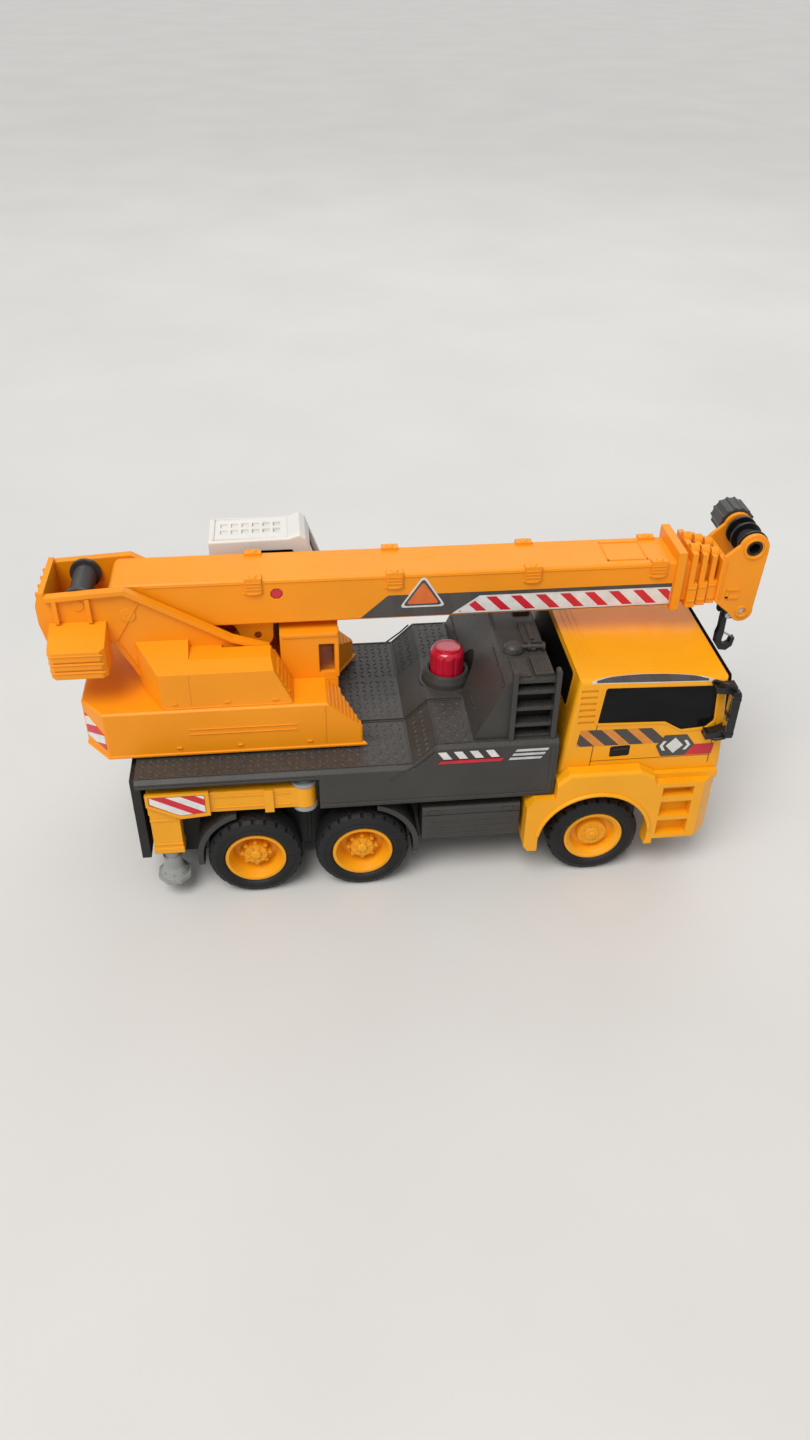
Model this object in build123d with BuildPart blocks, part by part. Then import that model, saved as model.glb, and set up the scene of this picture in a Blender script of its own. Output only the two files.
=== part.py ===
from build123d import *
import os
from math import cos, radians, sin

# Toy mobile crane truck with an air-pump boom lift.
# Millimetres.  X points to the cab, Y to the left, Z up.  The origin is on the ground,
# under the centre of the overall bounding box.

# ---------------------------------------------------------------- driving dimensions
RUN = 0.06                  # radial clearance of a shaft that turns in its hole
SLIDE_GAP = 0.2             # gap on each side of a telescopic section
WALL = 2.0                  # usual wall of a moulding

TYRE_R = 21.2
TYRE_WIDTH = 15.0
TYRE_OUTER_Y = 51.0
RIM_R = 13.6
AXLE_R = 1.5
REAR_AXLE_X = -74.0
MIDDLE_AXLE_X = -25.7
FRONT_AXLE_X = 81.4

DECK_Y = 50.5               # half width of the deck
DECK_Z = 69.5               # low, rear part of the deck
DECK_FRONT_Z = 79.6         # raised part behind the cab
SLAB_Z = 65.5               # underside of the rear slab
SKIRT_Z = 49.0              # bottom edge of the side skirts
DECK_REAR_X = -122.0
SKIRT_REAR_X = -44.0
RAMP_X = (-3.5, 7.0)
DECK_FRONT_X = 60.0

TRAY_Y = 33.0               # half width of the underframe tray
TRAY_Z = (13.0, 47.0)
TRAY_X = (-121.0, 106.0)

SLEW_X = -85.5              # turntable axis
SPIGOT_R = 12.0
BASE_Z = (70.9, 94.4)
BASE_Y = 35.0

CAB_Y = 47.5
CAB_Z = 57.0                # joint line between cab shell and fenders
FENDER_Y = 54.0
ARCH_R = 25.6
ARCH_X, ARCH_Z = 79.8, 23.7

PUMP_X = 17.5
BUTTON_R = 7.8
PUMP_STROKE = 7.0
PUMP_BORE_R = 8.0

OUTRIGGER_X, OUTRIGGER_Y = -50.5, 44.5
OUTRIGGER_Z = (49.2, 60.2)
LEG_X, LEG_Y = -111.5, 44.5

BOOM_Z = 131.75             # boom centreline
BOOM_Y = 12.0               # half width of the outer section
BOOM_HALF_Z = 10.75
BOOM_WALL = 1.5
BOOM_X = (-126.5, 113.5)
# Half width and half height of each inner boom section, from the second to the fourth.
SECTION_TWO = (BOOM_Y - BOOM_WALL - SLIDE_GAP, BOOM_HALF_Z - BOOM_WALL - SLIDE_GAP)
SECTION_THREE = (SECTION_TWO[0] - BOOM_WALL - SLIDE_GAP, SECTION_TWO[1] - BOOM_WALL - SLIDE_GAP)
SECTION_FOUR = (SECTION_THREE[0] - BOOM_WALL - SLIDE_GAP, SECTION_THREE[1] - BOOM_WALL - SLIDE_GAP)
PIVOT_X, PIVOT_Z = -119.0, 130.5
PIVOT_R = 2.5
LUG_ARM = 55.0              # pivot to lift pins, the same for both
LUG_ANGLE = -18.0           # direction of the boom's lift pin, degrees
CYLINDER_ANGLE = -66.0      # direction of the cylinder's base pin, degrees
LIFT_PIN_R = 1.6
BASE_PIN_R = 2.0
MAST_Y = (13.2, 15.2)

HEAD_Y = (9.2, 11.2)
SPOOL_X, SPOOL_Z = 147.3, 147.0
SPOOL_R = 4.0
SHAFT_R = 3.5
GUIDE_X, GUIDE_Z = 147.6, 115.8
GUIDE_R = 1.5
ROLLER_R = 2.2
CORD_R = 0.5
HOOK_Z = 109.9
DRUM_X, DRUM_Z = -138.5, 136.0

LUG_X = PIVOT_X + LUG_ARM * cos(radians(LUG_ANGLE))
LUG_Z = PIVOT_Z + LUG_ARM * sin(radians(LUG_ANGLE))
BASE_PIN_X = PIVOT_X + LUG_ARM * cos(radians(CYLINDER_ANGLE))
BASE_PIN_Z = PIVOT_Z + LUG_ARM * sin(radians(CYLINDER_ANGLE))
LIFT_LENGTH = 2 * LUG_ARM * sin(radians((LUG_ANGLE - CYLINDER_ANGLE) / 2))
LIFT_TILT = 90 + (LUG_ANGLE + CYLINDER_ANGLE) / 2
CORD_X = GUIDE_X - ROLLER_R - CORD_R

os.makedirs("parts", exist_ok=True)


# ---------------------------------------------------------------- shared shapes
def block(x, y, z, mode=Mode.ADD):
    """A box between two corners, given as (low, high) pairs."""
    with Locations(((x[0] + x[1]) / 2, (y[0] + y[1]) / 2, (z[0] + z[1]) / 2)):
        Box(x[1] - x[0], y[1] - y[0], z[1] - z[0], mode=mode)


def side_prism(points, y, mode=Mode.ADD, corner=0.0):
    """An outline of (x, z) points, carried across the truck from y[0] to y[1]."""
    with BuildSketch(Plane.XZ.offset(-y[1])) as outline:
        with BuildLine():
            Polyline(*points, close=True)
        make_face()
        if corner:
            fillet(outline.vertices(), corner)
    extrude(outline.sketch, amount=y[1] - y[0], mode=mode)


def plan_prism(points, z, mode=Mode.ADD, corner=0.0):
    """An outline of (x, y) points, carried up from z[0] to z[1]."""
    with BuildSketch(Plane.XY.offset(z[0])) as outline:
        with BuildLine():
            Polyline(*points, close=True)
        make_face()
        if corner:
            fillet(outline.vertices(), corner)
    extrude(outline.sketch, amount=z[1] - z[0], mode=mode)


def end_prism(points, x, mode=Mode.ADD):
    """An outline of (y, z) points, carried forward from x[0] to x[1]."""
    with BuildSketch(Plane.YZ.offset(x[0])) as outline:
        with BuildLine():
            Polyline(*points, close=True)
        make_face()
    extrude(outline.sketch, amount=x[1] - x[0], mode=mode)


def cross_rod(x, z, radius, y, mode=Mode.ADD):
    """A round bar or hole across the truck."""
    with BuildSketch(Plane.XZ.offset(-y[1])) as disc:
        with Locations((x, z)):
            Circle(radius)
    extrude(disc.sketch, amount=y[1] - y[0], mode=mode)


def upright_rod(x, y, radius, z, mode=Mode.ADD):
    """A round bar or hole along Z."""
    with BuildSketch(Plane.XY.offset(z[0])) as disc:
        with Locations((x, y)):
            Circle(radius)
    extrude(disc.sketch, amount=z[1] - z[0], mode=mode)


def square_tube(x, y_half, z_half, mode=Mode.ADD):
    """A bar of rectangular section along the boom's centreline."""
    block(x, (-y_half, y_half), (BOOM_Z - z_half, BOOM_Z + z_half), mode)


def finish(piece, name):
    """Label a sub-part and write it to its own STEP file."""
    piece.part.label = name
    export_step(piece.part, f"parts/{name}.step")


# ---------------------------------------------------------------- wheels
def wheel_plane(axle_x):
    """Local x is the wheel's radius, local y runs along the axle."""
    return Plane(origin=(axle_x, 0, TYRE_R), x_dir=(1, 0, 0), z_dir=(0, 0, 1))


def tyre_pair(axle_x):
    outer, inner = -TYRE_OUTER_Y, -TYRE_OUTER_Y + TYRE_WIDTH
    with BuildPart() as tyres:
        with BuildSketch(wheel_plane(axle_x)):
            with BuildLine():
                Polyline(
                    (RIM_R, outer + 1.5),
                    (RIM_R + 1.4, outer),
                    (TYRE_R - 3.2, outer),
                    (TYRE_R - 0.8, outer + 1.2),
                    (TYRE_R, outer + 3.0),
                    (TYRE_R, inner - 3.0),
                    (TYRE_R - 0.8, inner - 1.2),
                    (TYRE_R - 3.2, inner),
                    (RIM_R, inner),
                    close=True,
                )
            make_face()
        revolve(axis=Axis((axle_x, 0, TYRE_R), (0, 1, 0)))
        for shoulder in (outer + 1.6, inner - 1.6):
            tread_plane = Plane(origin=(axle_x, shoulder, TYRE_R), x_dir=(1, 0, 0), z_dir=(0, 1, 0))
            with Locations(tread_plane):
                with PolarLocations(TYRE_R, 24):
                    Box(2.4, 1.4, 4.2, mode=Mode.SUBTRACT)
        mirror(about=Plane.XZ)
    return tyres


def rim_pair(axle_x, dished):
    face = -TYRE_OUTER_Y + 0.7
    back = -TYRE_OUTER_Y + TYRE_WIDTH
    with BuildPart() as rims:
        with BuildSketch(wheel_plane(axle_x)):
            with BuildLine():
                if dished:
                    Polyline(
                        (0, back), (0, face + 2.6), (5.2, face + 2.6), (5.8, face + 7.4),
                        (9.4, face + 7.4), (12.2, face), (RIM_R, face), (RIM_R, back), close=True,
                    )
                else:
                    Polyline(
                        (0, back), (0, face + 1.4), (3.2, face + 1.4), (3.6, face + 2.2),
                        (6.6, face + 2.2), (7.2, face + 5.0), (9.6, face + 5.0),
                        (10.6, face + 1.6), (12.4, face), (RIM_R, face), (RIM_R, back), close=True,
                    )
            make_face()
        revolve(axis=Axis((axle_x, 0, TYRE_R), (0, 1, 0)))
        if dished:
            nut_plane = Plane(origin=(axle_x, face + 5.6, TYRE_R), x_dir=(1, 0, 0), z_dir=(0, 1, 0))
            with Locations(nut_plane):
                with PolarLocations(6.2, 8):
                    Cylinder(1.0, 4.4)
        cross_rod(axle_x, TYRE_R, AXLE_R, (back - 9, back + 1), Mode.SUBTRACT)
        mirror(about=Plane.XZ)
    return rims


def axle_bar(axle_x):
    end = TYRE_OUTER_Y - TYRE_WIDTH + 9
    with BuildPart() as axle:
        cross_rod(axle_x, TYRE_R, AXLE_R, (-end, end))
    return axle


for wheel_name, wheel_x, wheel_dished in (
    ("rear", REAR_AXLE_X, True),
    ("middle", MIDDLE_AXLE_X, True),
    ("front", FRONT_AXLE_X, False),
):
    finish(tyre_pair(wheel_x), f"{wheel_name}_tyres")
    finish(rim_pair(wheel_x, wheel_dished), f"{wheel_name}_rims")
    finish(axle_bar(wheel_x), f"{wheel_name}_axle")


# ---------------------------------------------------------------- underframe
SCREW_PLACES = [(x, y) for x in (-105.0, -2.0, 55.0) for y in (-22.0, 22.0)]

with BuildPart() as underframe:
    block(TRAY_X, (-TRAY_Y, TRAY_Y), TRAY_Z)
    block(
        (TRAY_X[0] + WALL, TRAY_X[1] - WALL),
        (-TRAY_Y + WALL, TRAY_Y - WALL),
        (TRAY_Z[0] + WALL, TRAY_Z[1] + 1),
        Mode.SUBTRACT,
    )
    for axle_x in (REAR_AXLE_X, MIDDLE_AXLE_X, FRONT_AXLE_X):
        for low, high in ((-TRAY_Y, -27.0), (27.0, TRAY_Y)):
            cross_rod(axle_x, TYRE_R, 4.0, (low, high))
        cross_rod(axle_x, TYRE_R, AXLE_R + RUN, (-TRAY_Y - 1, TRAY_Y + 1), Mode.SUBTRACT)
    for post_x, post_y in SCREW_PLACES:
        upright_rod(post_x, post_y, 4.0, (TRAY_Z[0] + 1, TRAY_Z[1]))
        upright_rod(post_x, post_y, 1.5, (TRAY_Z[0], TRAY_Z[0] + 12), Mode.SUBTRACT)
        upright_rod(post_x, post_y, 3.1, (TRAY_Z[0], TRAY_Z[0] + 1.6), Mode.SUBTRACT)
    upright_rod(PUMP_X, 0, 5.0, (TRAY_Z[0] + 1, 37.0))
    block((-125.0, -121.0), (-44.0, 44.0), (20.0, 65.3))
    for lamp_y in (-32.0, 32.0):
        block((-125.6, -124.6), (lamp_y - 8, lamp_y + 8), (40.0, 48.0))
finish(underframe, "underframe")

with BuildPart() as chassis_screws:
    for post_x, post_y in SCREW_PLACES:
        upright_rod(post_x, post_y, 3.0, (TRAY_Z[0] + 0.1, TRAY_Z[0] + 1.6))
        upright_rod(post_x, post_y, 1.5, (TRAY_Z[0] + 1.5, TRAY_Z[0] + 11))
finish(chassis_screws, "chassis_screws")


def fender_quarter(axle_x, direction):
    """A mudguard over the rear (-1) or front (+1) quarter of a wheel, on both sides."""
    inner, outer = TYRE_R + 2.2, TYRE_R + 4.8
    with BuildPart() as guard:
        cross_rod(axle_x, TYRE_R, outer, (-48.0, -TRAY_Y))
        cross_rod(axle_x, TYRE_R, inner, (-49.0, -TRAY_Y + 1), Mode.SUBTRACT)
        keep = sorted((axle_x + direction * 7.0, axle_x + direction * 40.0))
        with Locations((sum(keep) / 2, -40.0, TYRE_R + 20.0)):
            Box(keep[1] - keep[0], 40.0, 48.0, mode=Mode.INTERSECT)
        mirror(about=Plane.XZ)
    return guard


with BuildPart() as mudguards:
    add(fender_quarter(REAR_AXLE_X, -1).part)
    add(fender_quarter(MIDDLE_AXLE_X, 1).part)
finish(mudguards, "mudguards")

with BuildPart() as side_boxes:
    block((1.5, 46.0), (-48.5, -TRAY_Y), (24.0, 43.0))
    chamfer(side_boxes.edges().filter_by(Axis.X).group_by(Axis.Y)[0], 1.0)
    block((0.0, 47.0), (-49.0, -48.0), (38.4, 39.0), Mode.SUBTRACT)
    mirror(about=Plane.XZ)
finish(side_boxes, "side_boxes")


# ---------------------------------------------------------------- deck
with BuildPart() as deck:
    side_prism(
        [
            (DECK_REAR_X, SLAB_Z), (DECK_REAR_X, DECK_Z), (RAMP_X[0], DECK_Z),
            (RAMP_X[1], DECK_FRONT_Z), (DECK_FRONT_X, DECK_FRONT_Z), (DECK_FRONT_X, SKIRT_Z),
            (SKIRT_REAR_X, SKIRT_Z), (SKIRT_REAR_X, SLAB_Z),
        ],
        (-DECK_Y, DECK_Y),
    )
    side_faces = deck.faces().filter_by(Axis.Y).sort_by(Axis.Y)
    rim_edges = (side_faces[0].edges() + side_faces[-1].edges()).filter_by(
        lambda edge: edge.center().Z > DECK_Z - 0.5 and edge.center().X < DECK_FRONT_X - 1
    )
    chamfer(rim_edges, 1.6)
    side_prism(
        [
            (SKIRT_REAR_X + WALL, 40.0), (SKIRT_REAR_X + WALL, DECK_Z - 2.5),
            (RAMP_X[0] - 0.9, DECK_Z - 2.5), (RAMP_X[1] - 1, DECK_FRONT_Z - 2.5),
            (DECK_FRONT_X - WALL, DECK_FRONT_Z - 2.5), (DECK_FRONT_X - WALL, 40.0),
        ],
        (-DECK_Y + WALL, DECK_Y - WALL),
        Mode.SUBTRACT,
    )
    for low, high in ((-TRAY_Y, -TRAY_Y + WALL), (TRAY_Y - WALL, TRAY_Y)):
        side_prism(
            [
                (TRAY_X[0], TRAY_Z[1]), (TRAY_X[0], DECK_Z - 2), (RAMP_X[0] - 0.5, DECK_Z - 2),
                (RAMP_X[1] - 0.5, DECK_FRONT_Z - 2), (DECK_FRONT_X - 1, DECK_FRONT_Z - 2),
                (DECK_FRONT_X - 1, TRAY_Z[1]),
            ],
            (low, high),
        )
    side_prism(
        [
            (-60.0, DECK_Z - 0.5), (-60.0, DECK_Z + 0.8), (RAMP_X[0] - 0.4, DECK_Z + 0.8),
            (RAMP_X[1] - 0.4, DECK_FRONT_Z + 0.8), (22.0, DECK_FRONT_Z + 0.8),
            (22.0, DECK_FRONT_Z - 0.5), (RAMP_X[1] + 0.2, DECK_FRONT_Z - 0.5),
            (RAMP_X[0] + 0.2, DECK_Z - 0.5),
        ],
        (-16.2, 16.2),
    )
    upright_rod(PUMP_X, 0, 11.7, (DECK_FRONT_Z, DECK_FRONT_Z + 2), Mode.SUBTRACT)
    upright_rod(SLEW_X, 0, SPIGOT_R, (SLAB_Z - 1, DECK_Z + 1), Mode.SUBTRACT)
    upright_rod(PUMP_X, 0, BUTTON_R + 0.6, (DECK_FRONT_Z - 5, DECK_FRONT_Z + 2), Mode.SUBTRACT)
    for pin_y in (-OUTRIGGER_Y, OUTRIGGER_Y):
        upright_rod(OUTRIGGER_X, pin_y, 2.5, (SLAB_Z - 1, SLAB_Z + 2), Mode.SUBTRACT)
finish(deck, "deck")


# ---------------------------------------------------------------- equipment box with ladders
BOX_X = (23.0, 37.0, 56.5, 59.0)
BOX_Z = 110.0
BOX_Y = 47.0
LADDER_X = (40.0, 56.0)

with BuildPart() as equipment_box:
    side_prism(
        [(BOX_X[0], DECK_FRONT_Z), (BOX_X[1], BOX_Z), (BOX_X[2], BOX_Z), (BOX_X[3], DECK_FRONT_Z)],
        (-BOX_Y, BOX_Y),
    )
    chamfer(equipment_box.faces().sort_by(Axis.Z)[-1].edges().filter_by(Axis.Y), 1.0)
    side_prism(
        [(BOX_X[0] + 10, DECK_FRONT_Z - 1), (BOX_X[1] + 3, BOX_Z - WALL),
         (BOX_X[2] - 2, BOX_Z - WALL), (BOX_X[3] - 2.4, DECK_FRONT_Z - 1)],
        (-BOX_Y + 8, BOX_Y - 8),
        Mode.SUBTRACT,
    )
    upright_rod(PUMP_X, 0, 12.2, (DECK_FRONT_Z - 1, BOX_Z), Mode.SUBTRACT)
    with BuildPart(mode=Mode.PRIVATE) as ladder:
        for rail_x in (LADDER_X[0] - 2.2, LADDER_X[1]):
            side_prism(
                [(rail_x, DECK_FRONT_Z), (rail_x, 115.0), (rail_x + 2.2, 115.0),
                 (rail_x + 2.2, DECK_FRONT_Z)],
                (-BOX_Y - 2.2, -BOX_Y + 1),
                corner=1.0,
            )
        for rung_z in (86.0, 94.5, 103.0):
            block(LADDER_X, (-BOX_Y - 0.8, -BOX_Y + 4.5), (rung_z, rung_z + 1.8))
    block(LADDER_X, (-BOX_Y - 1, -BOX_Y + 4.5), (DECK_FRONT_Z + 1.2, BOX_Z - 2.0), Mode.SUBTRACT)
    block(LADDER_X, (BOX_Y - 4.5, BOX_Y + 1), (DECK_FRONT_Z + 1.2, BOX_Z - 2.0), Mode.SUBTRACT)
    add(ladder.part)
    add(ladder.part.mirror(Plane.XZ))
    for half in (-1, 1):
        upright_rod(42.0, half * 25.0, 4.6, (BOX_Z - 0.5, BOX_Z + 1.4))
        upright_rod(42.0, half * 25.0, 3.6, (BOX_Z + 1.0, BOX_Z + 2.4))
        upright_rod(50.5, half * 26.0, 1.4, (BOX_Z - 0.5, BOX_Z + 2.0))
        lid_y = sorted((half * 32.0, half * 45.5))
        block((39.0, 46.2), lid_y, (BOX_Z - 0.5, BOX_Z + 1.0))
        block((47.6, 55.6), lid_y, (BOX_Z - 0.5, BOX_Z + 1.8))
        pipe_y = sorted((half * 4.0, half * 21.0))
        block((47.6, 55.0), pipe_y, (BOX_Z - 0.5, BOX_Z + 1.4))
finish(equipment_box, "equipment_box")


# ---------------------------------------------------------------- air pump
with BuildPart() as pump_collar:
    with BuildSketch(Plane.XZ):
        with BuildLine():
            Polyline(
                (PUMP_X + BUTTON_R + 0.6, DECK_FRONT_Z), (PUMP_X + 11.6, DECK_FRONT_Z),
                (PUMP_X + 11.2, DECK_FRONT_Z + 3.2), (PUMP_X + 9.8, DECK_FRONT_Z + 6.2),
                (PUMP_X + BUTTON_R + 0.6, DECK_FRONT_Z + 6.2), close=True,
            )
        make_face()
    revolve(axis=Axis((PUMP_X, 0, 0), (0, 0, 1)))
finish(pump_collar, "pump_collar")

with BuildPart() as pump_button:
    upright_rod(PUMP_X, 0, BUTTON_R, (74.9, 97.5))
    fillet(pump_button.faces().sort_by(Axis.Z)[-1].edges(), 3.4)
    upright_rod(PUMP_X, 0, 9.6, (74.9, 77.0))
    with Locations((PUMP_X, 0, 92.0)):
        with PolarLocations(BUTTON_R + 1.15, 10):
            Cylinder(1.5, 16.0, mode=Mode.SUBTRACT)
    upright_rod(PUMP_X, 0, 3.0, (74.0, 82.0), Mode.SUBTRACT)
finish(pump_button, "pump_button")

with BuildPart() as pump_plunger:
    upright_rod(PUMP_X, 0, 3.0, (55.0, 82.0))
    upright_rod(PUMP_X, 0, PUMP_BORE_R - RUN, (53.0, 57.0))
finish(pump_plunger, "pump_plunger")

with BuildPart() as pump_cylinder:
    upright_rod(PUMP_X, 0, 9.6, (40.0, 62.0))
    upright_rod(PUMP_X, 0, PUMP_BORE_R, (39.0, 60.0), Mode.SUBTRACT)
    upright_rod(PUMP_X, 0, 3.0 + RUN, (59.0, 63.0), Mode.SUBTRACT)
finish(pump_cylinder, "pump_cylinder")

with BuildPart() as check_valve:
    upright_rod(PUMP_X, 0, 9.6, (37.0, 40.0))
    with BuildSketch(Plane.YZ.offset(PUMP_X - 16)):
        with Locations((0, 38.6)):
            Circle(1.3)
    extrude(amount=14)
finish(check_valve, "check_valve")

SPRING_TURNS = 5
with BuildPart() as pump_spring:
    with BuildLine():
        Helix(pitch=(74.3 - 62.6) / SPRING_TURNS, height=74.3 - 62.6, radius=6.0,
              center=(PUMP_X, 0, 62.6))
    with BuildSketch(Plane(origin=(PUMP_X + 6.0, 0, 62.6), x_dir=(1, 0, 0), z_dir=(0, 1, 0))):
        Circle(0.45)
    sweep()
finish(pump_spring, "pump_spring")

with BuildPart() as air_hose:
    with BuildLine():
        hose_path = FilletPolyline(
            (PUMP_X - 16, 0, 38.6), (SLEW_X, 0, 38.6), (SLEW_X, 0, 68.0), radius=8.0
        )
    with BuildSketch(Plane(origin=(PUMP_X - 16, 0, 38.6), z_dir=(-1, 0, 0))):
        Circle(1.9)
        Circle(1.1, mode=Mode.SUBTRACT)
    sweep()
finish(air_hose, "air_hose")


# ---------------------------------------------------------------- cab
with BuildPart() as cab_shell:
    with BuildSketch(Plane.XZ.offset(-CAB_Y)) as cab_outline:
        with BuildLine():
            Polyline(
                (61.5, CAB_Z), (66.8, 108.0), (131.6, 105.8), (135.0, 72.0), (135.0, CAB_Z),
                close=True,
            )
        make_face()
        fillet(cab_outline.vertices().filter_by(lambda corner: corner.Z > 100), 3.0)
    extrude(amount=2 * CAB_Y)
    cab_sides = cab_shell.faces().filter_by(Axis.Y).sort_by(Axis.Y)
    fillet(
        (cab_sides[0].edges() + cab_sides[-1].edges()).filter_by(
            lambda edge: edge.center().Z > CAB_Z + 9
        ),
        2.4,
    )
    side_prism(
        [(63.9, CAB_Z - 1), (68.9, 105.9), (129.6, 103.7), (133.0, 72.0), (133.0, CAB_Z - 1)],
        (-CAB_Y + WALL, CAB_Y - WALL),
        Mode.SUBTRACT,
    )
    for window_y in ((-CAB_Y - 1, -CAB_Y + 3), (CAB_Y - 3, CAB_Y + 1)):
        side_prism(
            [(78.2, 104.0), (127.2, 102.6), (128.8, 83.4), (125.6, 80.0), (114.5, 79.2),
             (106.8, 84.0), (76.4, 85.0)],
            window_y,
            Mode.SUBTRACT,
            corner=1.2,
        )
        handle_y = (-CAB_Y - 1, -CAB_Y + 0.7) if window_y[0] < 0 else (CAB_Y - 0.7, CAB_Y + 1)
        side_prism([(84.0, 66.0), (84.0, 72.0), (93.0, 72.4), (93.0, 66.4)], handle_y, Mode.SUBTRACT, corner=1.0)
        for rib in range(6):
            rib_z = 85.2 + 3.3 * rib
            block((68.0, 75.0), handle_y, (rib_z, rib_z + 1.3), Mode.SUBTRACT)
    block((128.0, 137.0), (-42.0, 42.0), (77.0, 102.0), Mode.SUBTRACT)
finish(cab_shell, "cab_shell")

with BuildPart() as cab_glazing:
    side_prism(
        [(74.0, 77.5), (75.5, 104.6), (128.6, 102.8), (131.8, 77.5)],
        (-CAB_Y + WALL + 0.1, CAB_Y - WALL - 0.1),
    )
    side_prism(
        [(70.0, 76.0), (72.0, 106.0), (127.6, 106.0), (130.3, 76.0)],
        (-CAB_Y + WALL + 1.5, CAB_Y - WALL - 1.5),
        Mode.SUBTRACT,
    )
    for pane_y in ((-CAB_Y + 0.5, -CAB_Y + 3), (CAB_Y - 3, CAB_Y - 0.5)):
        side_prism(
            [(78.35, 103.85), (127.05, 102.45), (128.6, 83.5), (125.5, 80.15), (114.6, 79.35),
             (106.9, 84.15), (76.6, 85.15)],
            pane_y,
            corner=1.1,
        )
    side_prism(
        [(129.2, 101.8), (130.4, 77.2), (134.6, 77.2), (133.2, 93.0), (132.0, 101.8)],
        (-41.8, 41.8),
    )
    side_prism(
        [(132.6, 104.0), (135.15, 76.0), (136.2, 76.0), (135.4, 93.0), (133.4, 105.6)],
        (-44.6, 44.6),
    )
finish(cab_glazing, "cab_glazing")

with BuildPart() as cab_fenders:
    for low, high in ((-FENDER_Y, -36.0), (36.0, FENDER_Y)):
        side_prism(
            [(47.8, 21.0), (47.8, 44.0), (51.0, 48.6), (60.4, 48.6), (60.8, 57.0), (66.0, 62.0),
             (98.0, 62.0), (105.0, 58.0), (108.4, 50.0), (108.4, 18.0), (50.0, 18.0)],
            (low, high),
        )
    fender_sides = cab_fenders.faces().filter_by(Axis.Y).sort_by(Axis.Y)
    fillet(
        (fender_sides[0].edges() + fender_sides[-1].edges()).filter_by(
            lambda edge: edge.center().Z > 49.5 and edge.center().X > 61
        ),
        1.8,
    )
    block((60.9, 134.5), (-50.0, 50.0), (53.0, CAB_Z))
    for low, high in ((-TRAY_Y, -TRAY_Y + 4), (TRAY_Y - 4, TRAY_Y)):
        block((62.0, 99.0), (low, high), (TRAY_Z[1], 54.0))
    plan_prism(
        [(106.0, -FENDER_Y), (128.0, -FENDER_Y), (134.5, -48.0), (134.5, 48.0), (128.0, FENDER_Y),
         (106.0, FENDER_Y)],
        (21.0, 54.0),
    )
    block((60.0, 137.0), (-CAB_Y - 0.1, CAB_Y + 0.1), (CAB_Z, 64.0), Mode.SUBTRACT)
    cross_rod(ARCH_X, ARCH_Z, ARCH_R, (-60.0, 60.0), Mode.SUBTRACT)
    block((ARCH_X - ARCH_R, ARCH_X + ARCH_R - 1), (-60.0, 60.0), (10.0, ARCH_Z), Mode.SUBTRACT)
    block((100.0, 131.0), (-46.5, 46.5), (18.0, 50.0), Mode.SUBTRACT)
    for step_z in (23.4, 34.6, 46.4):
        step_top = min(step_z + 8.6, 51.6)
        block((109.4, 123.6), (-55.0, -49.4), (step_z, step_top), Mode.SUBTRACT)
        block((109.4, 123.6), (49.4, 55.0), (step_z, step_top), Mode.SUBTRACT)
    for lamp_y in (-41.0, 41.0):
        block((133.0, 136.0), (lamp_y - 5.0, lamp_y + 5.0), (36.0, 45.0), Mode.SUBTRACT)
    block((133.3, 136.0), (-31.0, 31.0), (27.0, 33.0), Mode.SUBTRACT)
finish(cab_fenders, "cab_fenders")

with BuildPart() as front_grille:
    block((135.0, 136.3), (-36.0, 36.0), (58.5, 72.0))
    for slot in range(4):
        slot_z = 60.2 + 3.0 * slot
        block((135.6, 137.0), (-33.5, 33.5), (slot_z, slot_z + 1.5), Mode.SUBTRACT)
finish(front_grille, "front_grille")

with BuildPart() as headlamps:
    block((133.0, 135.2), (-46.0, -36.0), (36.0, 45.0))
    fillet(headlamps.faces().sort_by(Axis.X)[-1].edges(), 0.8)
    mirror(about=Plane.XZ)
finish(headlamps, "headlamps")

with BuildPart() as mirrors:
    block((131.2, 134.6), (-56.0, -50.6), (79.0, 103.0))
    fillet(mirrors.edges().filter_by(Axis.X), 1.6)
    side_prism([(125.0, 101.6), (124.0, 104.2), (133.6, 104.6), (134.4, 100.4)], (-52.6, -CAB_Y))
    side_prism([(124.2, 77.0), (124.2, 80.2), (128.2, 80.2), (133.4, 82.4), (134.0, 78.0)], (-52.6, -CAB_Y))
    mirror(about=Plane.XZ)
finish(mirrors, "mirrors")


# ---------------------------------------------------------------- outriggers
def outrigger_arm(side):
    """Beam, striped end plate and leg housing; side is -1 for right and +1 for left."""
    y_low, y_high = sorted((side * 41.0, side * 48.6))
    plate_y = sorted((side * 48.4, side * 50.2))
    rib_y = sorted((side * 48.4, side * 49.8))
    with BuildPart() as arm:
        block((-118.4, OUTRIGGER_X), (y_low, y_high), OUTRIGGER_Z)
        upright_rod(OUTRIGGER_X, side * OUTRIGGER_Y, 5.2, OUTRIGGER_Z)
        side_prism(
            [(-118.6, 61.6), (-118.6, 55.0), (-104.5, 47.4), (-91.5, 48.6), (-91.5, 61.6)],
            plate_y,
        )
        side_prism(
            [(-117.2, 60.4), (-117.2, 55.9), (-104.3, 49.0), (-93.2, 50.0), (-93.2, 60.4)],
            sorted((side * 49.6, side * 51.0)),
            Mode.SUBTRACT,
        )
        block((-68.0, -64.0), rib_y, (48.0, 60.2))
        block((-118.0, -105.4), (y_low, y_high), (28.6, 50.0))
        block((-118.3, -105.0), sorted((side * 40.8, side * 49.2)), (26.8, 29.6))
        upright_rod(LEG_X, side * LEG_Y, 3.3 + 0.1, (25.0, 47.0), Mode.SUBTRACT)
        upright_rod(OUTRIGGER_X, side * OUTRIGGER_Y, 2.5 + RUN, (45.0, 65.0), Mode.SUBTRACT)
    return arm


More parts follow.
